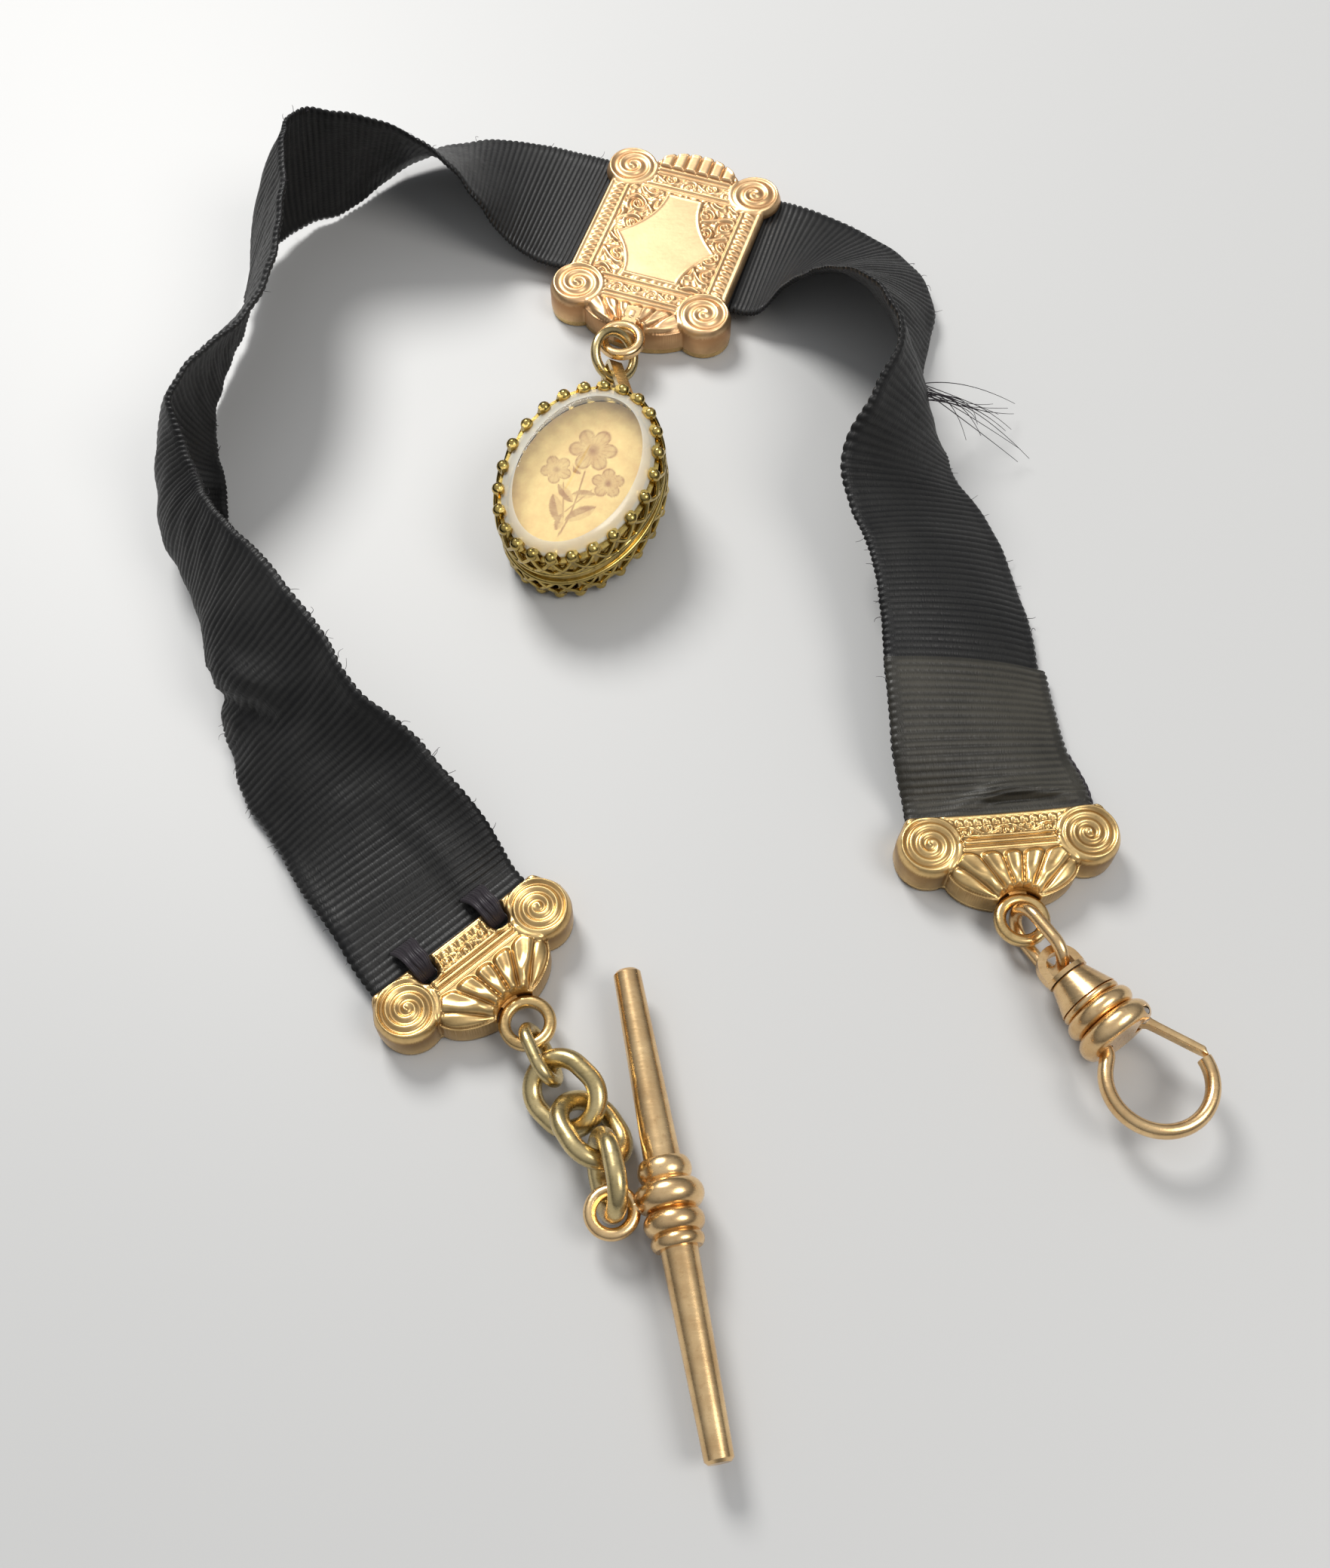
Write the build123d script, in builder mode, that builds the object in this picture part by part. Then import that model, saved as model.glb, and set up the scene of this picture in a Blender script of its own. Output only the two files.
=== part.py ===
from build123d import *
import os
from math import cos, degrees, hypot, pi, radians, sin

# Pocket watch fob: a grosgrain ribbon lies in an open loop between two pressed plates.
# A slide rides on it with an oval glass pendant, a chain with a T-bar hangs from the left
# plate, and a snap swivel hangs from the right one. Everything lies on a table at height 0.

os.makedirs("parts", exist_ok=True)

# Layout on the table
lay_reach = 50.0                    # length that the places on the table are shares of
middle_shares = (-0.0318, 0.1767)     # the middle of the whole lay, which is the origin

# Ribbon
ribbon_width = 13.0
ribbon_thickness = 0.5
ribbon_rest_height = 1.0            # middle of the ribbon inside the plates
ribbon_slide_height = 1.6           # middle of the ribbon inside the slide
turned_end_thickness = 0.4
turned_end_overhang = 0.2           # how far the turned end stands out past each edge
soft_gap = 0.05                     # between the turned end and the ribbon under it
curl_split = 0.3                    # degrees by which the two halves' curls always differ
stitch_diameter = 0.9

# Terminal plates
plate_depth = 2.8
plate_back_thickness = 0.5
plate_skin = 0.5
plate_wall = 0.9
plate_top = 2.45                    # from the line of the volutes to the top edge
plate_top_sag = 0.2
ribbon_side_gap = 0.45
ribbon_tuck = 1.0                   # how far the ribbon reaches past the line of the volutes
volute_radius = 2.3
bowl_half_width = 4.7
bowl_drop = 4.45                    # from the line of the volutes to the bowl's lowest point
eye_drop = 5.6                      # from the line of the volutes to the eye's centre
notch_width = 1.4
notch_depth = 1.9
notch_spread = 3.0                  # each stitch notch from the middle of the plate

# Relief on plates and slide
relief_height = 0.3
scroll_line = 0.34
scroll_pitch = 0.42                 # by which each half turn of a volute's scroll shrinks
bar_height = 0.45
lobe_count = 5

# Eyes: rings with a tang
eye_ring_radius = 1.52              # to the middle of the wire
eye_wire = 0.84
eye_height = 0.9
eye_level = 1.6
tang_width = 1.2
tang_thickness = 0.6
tang_length = 2.0
seat_gap = 0.04                     # all round a piece that sits in a pocket

# Slide
slide_half_width = 6.95
slide_depth = 3.4
slide_back_thickness = 0.5
slide_volute_x = 5.5
slide_volute_y = 7.1
slide_channel_top = 2.2
slide_ribbon_offset = 1.6           # the ribbon's middle above the slide's middle
crest_half_width = 4.3
crest_top = 10.1
slide_bowl_half_width = 5.3
slide_bowl_drop = 10.4
slide_eye_drop = 11.84
slide_eye_level = 2.7

# Pendant
pendant_length = 15.4
pendant_width = 11.4
glass_length = 14.0
glass_width = 10.0
band_height = 1.5
gallery_height = 1.7
gallery_wall = 0.55
glass_thickness = 1.6
glass_bevel = 0.8
card_thickness = 0.25
card_gap = 0.04
window_width = 1.05
window_height = 1.25
window_shoulder_share = 0.15        # where a window's pointed top begins
claw_count = 24
claw_size = 0.9
claw_height = 0.75
claw_taper = 12

pendant_lift = 4.38                  # middle of the pendant above the table
pendant_tilt = 9.0
pendant_turn = 24.0                 # the long axis, from straight away towards the right

# Pendant ring and bail
pendant_ring_radius = 1.9
pendant_ring_wire = 0.8
bail_width = 1.1
bail_thickness = 0.4
bail_inside = 1.25

# Chain
small_link_length = 4.9
small_link_width = 3.4
small_link_wire = 0.9
link_length = 6.2
link_width = 5.3
link_wire = 1.3

# T-bar
bar_eye_radius = 1.4
bar_eye_wire = 0.84
bar_eye_reach = 3.71                # from the bar's axis to the eye's centre
upper_arm_length = 15.8             # from the middle of the collar
lower_arm_length = 15.4
arm_root_radius = 1.2
arm_end_radius = 0.92
arm_edge = 0.2
spigot_radius = 0.9
spigot_length = 1.1
collar_half = 2.8
collar_radius = 1.5                 # at the grooves
collar_bead_radius = 2.25
bar_shank_radius = 0.45
bar_shank_seat = 0.9                # how far the eye's shank enters the collar

# Swivel
swivel_link_length = 5.8
swivel_link_width = 3.9
swivel_link_wire = 0.9
bow_half_width = 1.25               # to the middle of the bow's strap
bow_strap = 0.56
bow_strap_depth = 0.8
bow_reach = 2.48                    # from the cone's end to the outside of the bow
bow_base_thickness = 0.32
spin_gap = 0.08                     # between the bow's base and the cone
rivet_radius = 0.45
rivet_head_radius = 0.75
rivet_head = 0.12
rivet_neck = 0.5                    # length of the rivet's hole in the cone
rivet_tail = 0.3
rivet_room = 0.5                    # length of the space for the rivet's tail
cone_length = 4.5                   # from the cone's end to the middle of the large bead
cone_end_radius = 1.4
cone_root_radius = 2.15
swivel_bead_radius = 2.75
swivel_face_reach = 0.8             # from the middle of the large bead to the end face
swivel_face_radius = 2.2
swivel_groove_radius = 1.95
hook_wire = 1.0
hook_height = 1.25
hook_ring_radius = 3.42
hook_ring_reach = 4.2               # from the middle of the large bead to the ring's centre
hook_root_offset = 1.45
hook_root_seat = 0.6                # how far behind the large bead's middle the wire starts
hook_root_bend = 0.8
hook_flare = 50.0                   # how far the wire turns out as it leaves the body
hook_tip_angle = 80.0               # where the wire ends, from the swivel's own axis
gate_pin_reach = 0.4
gate_pin_offset = 1.85
gate_pin_radius = 0.25
gate_pin_length = 3.0
gate_thickness = 0.55
gate_width = 0.9
gate_length = 4.25                  # from the pin to the gate's tip
gate_turn = 24.5
gate_knuckle_radius = 0.55
gate_slot_half = 0.72
gate_slot_gap = 0.1
gate_spring_radius = 0.5
gate_spring_thickness = 0.16
running_gap = 0.03


def on_table(x_share, y_share):
    """A place on the table, from its shares of the layout's reach."""
    middle_x_share, middle_y_share = middle_shares
    return (x_share - middle_x_share) * lay_reach, (y_share - middle_y_share) * lay_reach


def heading_vector(heading, rise=0.0):
    """A unit vector with this heading on the table and this rise above it, in degrees."""
    flat = cos(radians(rise))
    return Vector(flat * cos(radians(heading)), flat * sin(radians(heading)), sin(radians(rise)))


def turned_plane(origin, heading, pitch=0.0, roll=0.0):
    """A plane whose x axis has this heading and pitch, and whose y axis is rolled about it."""
    along = heading_vector(heading, pitch)
    level = heading_vector(heading + quarter_turn)
    upright = along.cross(level)
    across = level * cos(radians(roll)) + upright * sin(radians(roll))
    return Plane(origin=origin, x_dir=along, z_dir=along.cross(across))


def beside(place, x=0.0, y=0.0, z=0.0):
    """A point given in a plane's own directions."""
    return place.origin + place.x_dir * x + place.y_dir * y + place.z_dir * z


quarter_turn = 90.0
half_share = 0.5

# Where the three plates lie, and the turn of each
left_plate_shares, left_plate_turn = (-0.256, -0.289), 41.0
right_plate_shares, right_plate_turn = (0.478, -0.114), 5.0
slide_shares, slide_turn = (0.004, 1.010), -18.5

left_plate = turned_plane((*on_table(*left_plate_shares), 0), left_plate_turn)
right_plate = turned_plane((*on_table(*right_plate_shares), 0), right_plate_turn)
slide_place = turned_plane((*on_table(*slide_shares), 0), slide_turn)

# The ribbon's course: the middle of its width on the table, its height as a share of the
# width, the heading and rise of the line across it, and the curl of its two halves in degrees
ribbon_course_shares = [
    (-0.354, -0.162, 0.17, 36, 5, 0, 5),
    (-0.406, -0.100, 0.24, 35, 12, -8, 18),
    (-0.454, -0.040, 0.29, 35, 20, -15, 28),
    (-0.506, 0.010, 0.35, 33, 27, -22, 28),
    (-0.546, 0.070, 0.42, 33, 31, -35, 18),
    (-0.594, 0.122, 0.47, 35, 35, -60, 4),
    (-0.634, 0.180, 0.47, 41, 43, -90, -5),
    (-0.672, 0.238, 0.41, 46, 51, -118, -10),
    (-0.708, 0.298, 0.35, 46, 62, -136, -22),
    (-0.742, 0.360, 0.316, 30, 73, -138, -40),
    (-0.764, 0.426, 0.31, -20, 79, -126, -52),
    (-0.772, 0.494, 0.35, -66, 77, -98, -50),
    (-0.768, 0.558, 0.43, -78, 72, -62, -36),
    (-0.742, 0.626, 0.49, -60, 69, -38, -22),
    (-0.702, 0.696, 0.51, -36, 64, -20, -15),
    (-0.668, 0.772, 0.52, -22, 62, -12, -12),
    (-0.656, 0.854, 0.54, -14, 64, -10, -10),
    (-0.656, 0.930, 0.56, -4, 66, -10, -10),
    (-0.662, 0.998, 0.57, 0, 71, -15, -15),
    (-0.650, 1.056, 0.56, -6, 78, -22, -22),
    (-0.606, 1.090, 0.54, -26, 81, -14, -14),
    (-0.548, 1.102, 0.51, -46, 77, -5, -5),
    (-0.490, 1.118, 0.48, -56, 66, 0, 0),
    (-0.436, 1.140, 0.44, -64, 51, 0, 0),
    (-0.378, 1.152, 0.39, -75, 36, -4, -4),
    (-0.320, 1.148, 0.31, -88, 22, -4, -4),
    (-0.256, 1.134, 0.20, -100, 9, -3, -3),
]
ribbon_descent_shares = [
    (0.270, 0.962, 0.21, -130, 17, -4, -4),
    (0.326, 0.912, 0.33, -149, 26, -8, -5),
    (0.358, 0.846, 0.42, -166, 39, -9, -5),
    (0.366, 0.774, 0.48, -174, 57, -10, -5),
    (0.380, 0.700, 0.51, -174, 70, -10, -5),
    (0.396, 0.628, 0.51, -163, 71, -10, -6),
    (0.386, 0.560, 0.45, -159, 56, -8, -10),
    (0.370, 0.498, 0.36, -161, 38, -6, -14),
    (0.390, 0.436, 0.31, -161, 29, -6, -15),
    (0.414, 0.372, 0.31, -164, 27, -10, -15),
    (0.430, 0.304, 0.30, -168, 25, -15, -16),
    (0.440, 0.234, 0.29, -172, 21, -18, -18),
    (0.443, 0.164, 0.26, -174, 19, -18, -18),
    (0.447, 0.094, 0.22, -173, 16, -14, -14),
    (0.452, 0.026, 0.16, -172, 11, -8, -8),
]


def course_station(row):
    """One row of the course as a place and its four angles."""
    x_share, y_share, z_share, heading, rise, curl_back, curl_front = row
    x, y = on_table(x_share, y_share)
    place = Vector(x, y, z_share * ribbon_width)
    return place, heading, rise, curl_back - curl_split, curl_front + curl_split


def flat_station(place, x, y, level, heading):
    """A station where the ribbon lies flat in a plate or in the slide."""
    return beside(place, x, y, level), heading, 0, -curl_split, curl_split


# The ribbon lies straight in both plates and in the slide's channel
plate_run = plate_top + ribbon_tuck
mouth_reach = plate_top + plate_skin * 3
right_ribbon_shift = -0.15
slide_run_shares = (-1.45, -0.75, 0.0, 0.7, 1.3)
left_stations = [
    flat_station(left_plate, 0, y, ribbon_rest_height, left_plate_turn)
    for y in (-ribbon_tuck, plate_top * half_share, mouth_reach)
]
slide_stations = [
    flat_station(
        slide_place, share * slide_half_width, slide_ribbon_offset, ribbon_slide_height,
        slide_turn - quarter_turn)
    for share in slide_run_shares
]
right_stations = [
    flat_station(right_plate, right_ribbon_shift, y, ribbon_rest_height, right_plate_turn - 2 * quarter_turn)
    for y in (mouth_reach, plate_top * half_share, -ribbon_tuck)
]
stations = left_stations + [course_station(row) for row in ribbon_course_shares]
stations += slide_stations + [course_station(row) for row in ribbon_descent_shares] + right_stations


def station_plane(index):
    """The plane square to the ribbon's travel at one station, its x axis across the ribbon."""
    place, heading, rise, _, _ = stations[index]
    before = stations[max(index - 1, 0)][0]
    after = stations[min(index + 1, len(stations) - 1)][0]
    across = heading_vector(heading, rise)
    travel = after - before
    travel = (travel - across * travel.dot(across)).normalized()
    return Plane(origin=place, x_dir=across, z_dir=travel)


def half_strip(side, curl, level, spread):
    """Start, middle and end of one half of the section, at a level above its middle line."""
    bend = radians(curl)
    half = ribbon_width * half_share + spread
    points = []
    for share in (0, half_share, 1):
        turn = bend * share
        reach = half * sin(turn) / bend
        lift = half * (1 - cos(turn)) / bend
        points.append((side * (reach - level * sin(turn)), -lift - level * cos(turn)))
    return points


def ribbon_strip(first, last, low, high, spread=0.0):
    """A length of ribbon between two stations, from a low to a high level."""
    with BuildPart() as strip:
        for index in range(first, last + 1):
            curl_back, curl_front = stations[index][3:]
            with BuildSketch(station_plane(index)):
                with BuildLine():
                    low_back = half_strip(-1, curl_back, low, spread)
                    low_front = half_strip(1, curl_front, low, spread)
                    high_back = half_strip(-1, curl_back, high, spread)
                    high_front = half_strip(1, curl_front, high, spread)
                    ThreePointArc(*low_back[::-1])
                    ThreePointArc(*low_front)
                    Line(low_front[2], high_front[2])
                    ThreePointArc(*high_front[::-1])
                    ThreePointArc(*high_back)
                    Line(high_back[2], low_back[2])
                make_face()
        loft()
    return strip


def finish(part, name):
    """Names a sub-part and writes it."""
    part.part.label = name
    export_step(part.part, f"parts/{name}.step")


# The ribbon, and its folded end over the last stretch
half_ribbon = ribbon_thickness * half_share
last_station = len(stations) - 1
turned_first = last_station - 5
turned_low = half_ribbon + soft_gap
turned_high = turned_low + turned_end_thickness
long_stretch = ribbon_strip(0, turned_first, -half_ribbon, half_ribbon)
last_stretch = ribbon_strip(turned_first, last_station, -half_ribbon, half_ribbon)
with BuildPart() as ribbon:
    add(long_stretch.part)
    add(last_stretch.part)
finish(ribbon, "ribbon")
turned_end = ribbon_strip(turned_first, last_station, turned_low, turned_high, turned_end_overhang)
finish(turned_end, "ribbon_turned_end")

# Two bundles of thread that hold the ribbon in the notches of the left plate
with BuildPart() as stitches:
    stitch_rest = ribbon_rest_height + half_ribbon + stitch_diameter * half_share + soft_gap
    for side in (-1, 1):
        foot = beside(left_plate, side * notch_spread, plate_top + notch_depth, stitch_rest)
        crown = beside(left_plate, side * notch_spread, plate_top * 1.1, plate_depth + stitch_diameter * 0.4)
        tip = beside(left_plate, side * notch_spread, plate_top - notch_depth * 0.6, plate_depth * 0.8)
        with BuildLine():
            loop = ThreePointArc(foot, crown, tip)
        with BuildSketch(Plane(origin=loop @ 0, z_dir=loop % 0)):
            Circle(stitch_diameter * half_share)
        sweep(path=loop)
finish(stitches, "left_stitches")


def plate_outline(trim):
    """The outline of a terminal plate: a slab, two volutes and the bowl below them."""
    half = plate_half_width - trim
    top = plate_top - trim
    with BuildLine() as slab:
        Line((-half + trim, 0), (-half + trim, top))
        ThreePointArc((-half + trim, top), (0, top - plate_top_sag), (half - trim, top))
        Line((half - trim, top), (half - trim, 0))
        Line((half - trim, 0), (-half + trim, 0))
    make_face(slab.edges())
    with Locations((-volute_x, 0), (volute_x, 0)):
        Circle(volute_radius - trim)
    with Locations((0, -bowl_brim)):
        Ellipse(bowl_half_width - trim, bowl_drop - bowl_brim - trim)
    with Locations((0, -bowl_brim * half_share)):
        Rectangle(2 * volute_x, bowl_brim)


def scroll(centre, outward):
    """A volute's scroll: half turns that shrink by one pitch each, drawn as a raised line."""
    x, y = centre
    radius = volute_radius - scroll_line
    with BuildLine() as winding:
        start = x + outward * radius
        direction = -outward
        while radius > scroll_pitch:
            end = start + 2 * direction * radius
            crown = (start + end) * half_share
            bulge = y + radius * (1 if direction == -outward else -1)
            ThreePointArc((start, y), (crown, bulge), (end, y))
            start, direction, radius = end, -direction, radius - scroll_pitch
    trace(winding.edges(), line_width=scroll_line)


def lobes(half_width, brim, drop, count):
    """A bowl's gadroons: drop-shaped lobes that fan out below the brim."""
    for index in range(count):
        share = 2 * (index + half_share) / count - 1
        foot = (half_width * share * 0.45, -brim - (drop - brim) * (0.78 - 0.3 * share * share))
        head = (half_width * share * 0.78, -brim - scroll_line)
        middle = ((foot[0] + head[0]) * half_share, (foot[1] + head[1]) * half_share)
        reach = hypot(head[0] - foot[0], head[1] - foot[1]) * half_share
        lean = degrees(Vector(1, 0).get_signed_angle(Vector(head[0] - foot[0], head[1] - foot[1])) * pi / 180)
        with Locations(Location((*middle, 0), lean)):
            Ellipse(reach, half_width / count * 0.62)


def eye(place, drop, level, name):
    """A ring whose tang sits in the shell above it."""
    centre = beside(place, 0, -drop, level)
    ring_section = Plane(origin=centre, x_dir=place.x_dir, z_dir=-place.y_dir)
    with BuildPart() as ring:
        with BuildSketch(ring_section):
            with Locations((eye_ring_radius, 0)):
                RectangleRounded(eye_wire, eye_height, eye_wire * 0.45)
        revolve(axis=Axis(centre, place.z_dir))
        with BuildSketch(place.offset(level - tang_thickness * half_share)):
            with Locations((0, -drop + eye_ring_radius + tang_length * half_share)):
                Rectangle(tang_width, tang_length)
        extrude(amount=tang_thickness)
    finish(ring, name)


def cut_eye_seat(place, drop, level, bottom, top):
    """Cuts the shell round an eye's ring and makes the pocket for its tang."""
    with BuildSketch(place.offset(bottom)) as seat:
        with Locations((0, -drop)):
            Circle(eye_ring_radius + eye_wire * half_share + seat_gap)
    extrude(seat.sketch, amount=top - bottom, mode=Mode.SUBTRACT)
    with BuildSketch(place.offset(level - tang_thickness * half_share - seat_gap)) as pocket:
        with Locations((0, -drop + eye_ring_radius + (tang_length + seat_gap) * half_share)):
            Rectangle(tang_width + 2 * seat_gap, tang_length + seat_gap)
    extrude(pocket.sketch, amount=tang_thickness + 2 * seat_gap, mode=Mode.SUBTRACT)


def plate_front(place, name, notched):
    """The pressed shell of a terminal plate, open at its top edge for the ribbon."""
    with BuildPart() as shell:
        with BuildSketch(place.offset(plate_back_thickness)):
            plate_outline(0)
        extrude(amount=plate_depth - plate_back_thickness)
        # raised work on the face
        with BuildSketch(place.offset(plate_depth)):
            for side in (-1, 1):
                scroll((side * volute_x, 0), side)
            with Locations((0, plate_top - bar_height), (0, -bar_height), (0, bar_height)):
                Rectangle(2 * (volute_x - volute_radius), bar_height * 0.8)
            lobes(bowl_half_width, bowl_brim, bowl_drop, lobe_count)
        extrude(amount=relief_height)
        # room for the ribbon's end
        with BuildSketch(place.offset(plate_back_thickness)):
            with Locations((0, plate_top * half_share)):
                Rectangle(ribbon_width + 2 * ribbon_side_gap, plate_top + 2 * ribbon_tuck + 2 * ribbon_side_gap)
        extrude(amount=plate_depth - plate_skin - plate_back_thickness, mode=Mode.SUBTRACT)
        cut_eye_seat(place, eye_drop, eye_level, plate_back_thickness, plate_depth + relief_height)
        if notched:
            with BuildSketch(place.offset(plate_back_thickness)):
                with Locations((-notch_spread, plate_top), (notch_spread, plate_top)):
                    SlotCenterToCenter(2 * notch_depth - notch_width, notch_width, rotation=quarter_turn)
            extrude(amount=plate_depth + relief_height, mode=Mode.SUBTRACT)
    finish(shell, name)


def plate_back(place, name):
    """The flat back of a terminal plate."""
    with BuildPart() as back:
        with BuildSketch(place):
            plate_outline(seat_gap)
            with Locations((0, -eye_drop)):
                Circle(eye_ring_radius + eye_wire * half_share + seat_gap, mode=Mode.SUBTRACT)
        extrude(amount=plate_back_thickness)
    finish(back, name)


# The two terminal plates
plate_half_width = ribbon_width * half_share + ribbon_side_gap + plate_wall
volute_x = plate_half_width - volute_radius
bowl_brim = volute_radius * 0.7
for side_name, plate_place in (("left", left_plate), ("right", right_plate)):
    plate_front(plate_place, f"{side_name}_plate_front", side_name == "left")
    plate_back(plate_place, f"{side_name}_plate_back")
    eye(plate_place, eye_drop, eye_level, f"{side_name}_eye")


def slide_outline(trim):
    """The slide's outline: a body with four volutes, a crest above and a bowl below."""
    Rectangle(2 * (slide_half_width - trim), 2 * slide_volute_y)
    with Locations(*[(x * slide_volute_x, y * slide_volute_y) for x in (-1, 1) for y in (-1, 1)]):
        Circle(volute_radius - trim)
    with Locations((0, slide_volute_y)):
        Ellipse(crest_half_width - trim, crest_top - slide_volute_y - trim)
    with Locations((0, -slide_volute_y)):
        Ellipse(slide_bowl_half_width - trim, slide_bowl_drop - slide_volute_y - trim)


# The slide's shell, with its channel for the ribbon
channel_low = slide_ribbon_offset - ribbon_width * half_share - ribbon_side_gap
channel_high = slide_ribbon_offset + ribbon_width * half_share + ribbon_side_gap
with BuildPart() as slide_front:
    with BuildSketch(slide_place.offset(slide_back_thickness)):
        slide_outline(0)
    extrude(amount=slide_depth - slide_back_thickness)
    with BuildSketch(slide_place.offset(slide_depth)):
        for side in (-1, 1):
            scroll((side * slide_volute_x, slide_volute_y), side)
            scroll((side * slide_volute_x, -slide_volute_y), side)
        # side borders, cross bars and the plain cartouche
        rail = slide_volute_y - volute_radius
        with Locations((-slide_half_width + bar_height, 0), (slide_half_width - bar_height, 0)):
            Rectangle(bar_height, 2 * rail)
        with Locations((0, slide_volute_y), (0, -slide_volute_y)):
            Rectangle(2 * (slide_volute_x - volute_radius), bar_height)
        neck, belly, foot = slide_half_width * 0.22, slide_half_width * 0.62, slide_half_width * 0.34
        with BuildLine() as cartouche:
            for side in (-1, 1):
                ThreePointArc((side * neck, rail), (side * neck * 1.25, rail * 0.45), (side * belly, -rail * 0.15))
                ThreePointArc((side * belly, -rail * 0.15), (side * foot * 1.15, -rail * 0.55), (side * foot, -rail))
            Line((-neck, rail), (neck, rail))
            Line((-foot, -rail), (foot, -rail))
        make_face()
        lobes(slide_bowl_half_width, slide_volute_y + bar_height, slide_bowl_drop, lobe_count)
    extrude(amount=relief_height)
    with BuildSketch(slide_place.offset(slide_back_thickness)):
        with Locations((0, (channel_low + channel_high) * half_share)):
            Rectangle(4 * slide_half_width, channel_high - channel_low)
    extrude(amount=slide_channel_top - slide_back_thickness, mode=Mode.SUBTRACT)
    cut_eye_seat(slide_place, slide_eye_drop, slide_eye_level, slide_back_thickness, slide_depth + relief_height)
finish(slide_front, "slide_front")

with BuildPart() as slide_back:
    with BuildSketch(slide_place):
        slide_outline(seat_gap)
    extrude(amount=slide_back_thickness)
finish(slide_back, "slide_back")
eye(slide_place, slide_eye_drop, slide_eye_level, "slide_eye")


def oval_link(place, length, width, wire, name):
    """A closed oval of round wire, its long axis along the plane's x axis."""
    straight = (length - width) * half_share
    bend = (width - wire) * half_share
    with BuildPart() as link:
        with BuildLine(place) as course:
            Line((-straight, bend), (straight, bend))
            ThreePointArc((straight, bend), (straight + bend, 0), (straight, -bend))
            Line((straight, -bend), (-straight, -bend))
            ThreePointArc((-straight, -bend), (-straight - bend, 0), (-straight, bend))
        with BuildSketch(Plane(origin=course.line @ 0, z_dir=course.line % 0)):
            Circle(wire * half_share)
        sweep(path=course.line)
    finish(link, name)


def wire_ring(place, radius, wire):
    """Adds a ring of round wire, lying in the plane, to the part being built."""
    with BuildSketch(Plane(origin=place.origin, x_dir=place.x_dir, z_dir=-place.y_dir)) as section:
        with Locations((radius, 0)):
            Circle(wire * half_share)
    revolve(section.sketch, axis=Axis(place.origin, place.z_dir))


# The pendant lies on its back, raised a little at its top end
pendant_shares = (-0.126, 0.460)
pendant_place = turned_plane(
    (*on_table(*pendant_shares), pendant_lift), quarter_turn - pendant_turn, pendant_tilt)
half_band = band_height * half_share
glass_foot = half_band + gallery_height - glass_thickness + glass_bevel


def oval(length, width, mode=Mode.ADD):
    """A filled oval with these two diameters."""
    Ellipse(length * half_share, width * half_share, mode=mode)


def facing(side):
    """The pendant's middle plane, seen from its front or its back."""
    if side > 0:
        return pendant_place
    return Plane(origin=pendant_place.origin, x_dir=pendant_place.x_dir, z_dir=-pendant_place.z_dir)


with BuildPart() as centre_band:
    with BuildSketch(pendant_place.offset(-half_band)):
        oval(pendant_length, pendant_width)
        oval(glass_length - 2 * gallery_wall, glass_width - 2 * gallery_wall, Mode.SUBTRACT)
    extrude(amount=band_height)
finish(centre_band, "centre_band")

for side, side_name in ((1, "front"), (-1, "back")):
    face_plane = facing(side)
    crown_level = half_band + gallery_height
    # the openwork crown: an oval wall pierced by windows, with a claw over each pier
    with BuildPart() as gallery:
        with BuildSketch(face_plane.offset(half_band)):
            oval(pendant_length, pendant_width)
            oval(glass_length + 2 * seat_gap, glass_width + 2 * seat_gap, Mode.SUBTRACT)
        extrude(amount=gallery_height)
        for index in range(claw_count):
            turn = 2 * pi * (index + half_share) / claw_count
            window_out = Vector(pendant_width * cos(turn), pendant_length * sin(turn)).normalized()
            window_middle = beside(
                face_plane, pendant_length * half_share * cos(turn), pendant_width * half_share * sin(turn),
                half_band + gallery_height * half_share)
            window_facing = face_plane.x_dir * window_out.X + face_plane.y_dir * window_out.Y
            window_plane = Plane(
                origin=window_middle + window_facing * gallery_wall, x_dir=face_plane.z_dir, z_dir=-window_facing)
            with BuildSketch(window_plane):
                Polygon(
                    (-window_height * half_share, -window_width * half_share),
                    (window_height * window_shoulder_share, -window_width * half_share),
                    (window_height * half_share, 0),
                    (window_height * window_shoulder_share, window_width * half_share),
                    (-window_height * half_share, window_width * half_share),
                    align=None,
                )
            extrude(amount=3 * gallery_wall, mode=Mode.SUBTRACT)
        with BuildSketch(face_plane.offset(crown_level)):
            for index in range(claw_count):
                turn = 2 * pi * index / claw_count
                reach_x = (pendant_length - gallery_wall) * half_share * cos(turn)
                reach_y = (pendant_width - gallery_wall) * half_share * sin(turn)
                with Locations((reach_x, reach_y)):
                    RegularPolygon(claw_size * half_share, 6)
        extrude(amount=claw_height, taper=claw_taper)
    finish(gallery, f"{side_name}_gallery")

    # the glass: a flat face with a wide bevel round it, over a printed card
    with BuildPart() as glass:
        with BuildSketch(face_plane.offset(glass_foot)):
            oval(glass_length, glass_width)
        extrude(amount=glass_thickness - glass_bevel)
        with BuildSketch(face_plane.offset(glass_foot + glass_thickness - glass_bevel)):
            oval(glass_length, glass_width)
        with BuildSketch(face_plane.offset(glass_foot + glass_thickness)):
            oval(glass_length - 2 * glass_bevel, glass_width - 2 * glass_bevel)
        loft()
    finish(glass, f"{side_name}_glass")
    with BuildPart() as card:
        with BuildSketch(face_plane.offset(glass_foot - card_gap - card_thickness)):
            oval(glass_length - 2 * seat_gap, glass_width - 2 * seat_gap)
        extrude(amount=card_thickness)
    finish(card, f"{side_name}_card")

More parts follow.
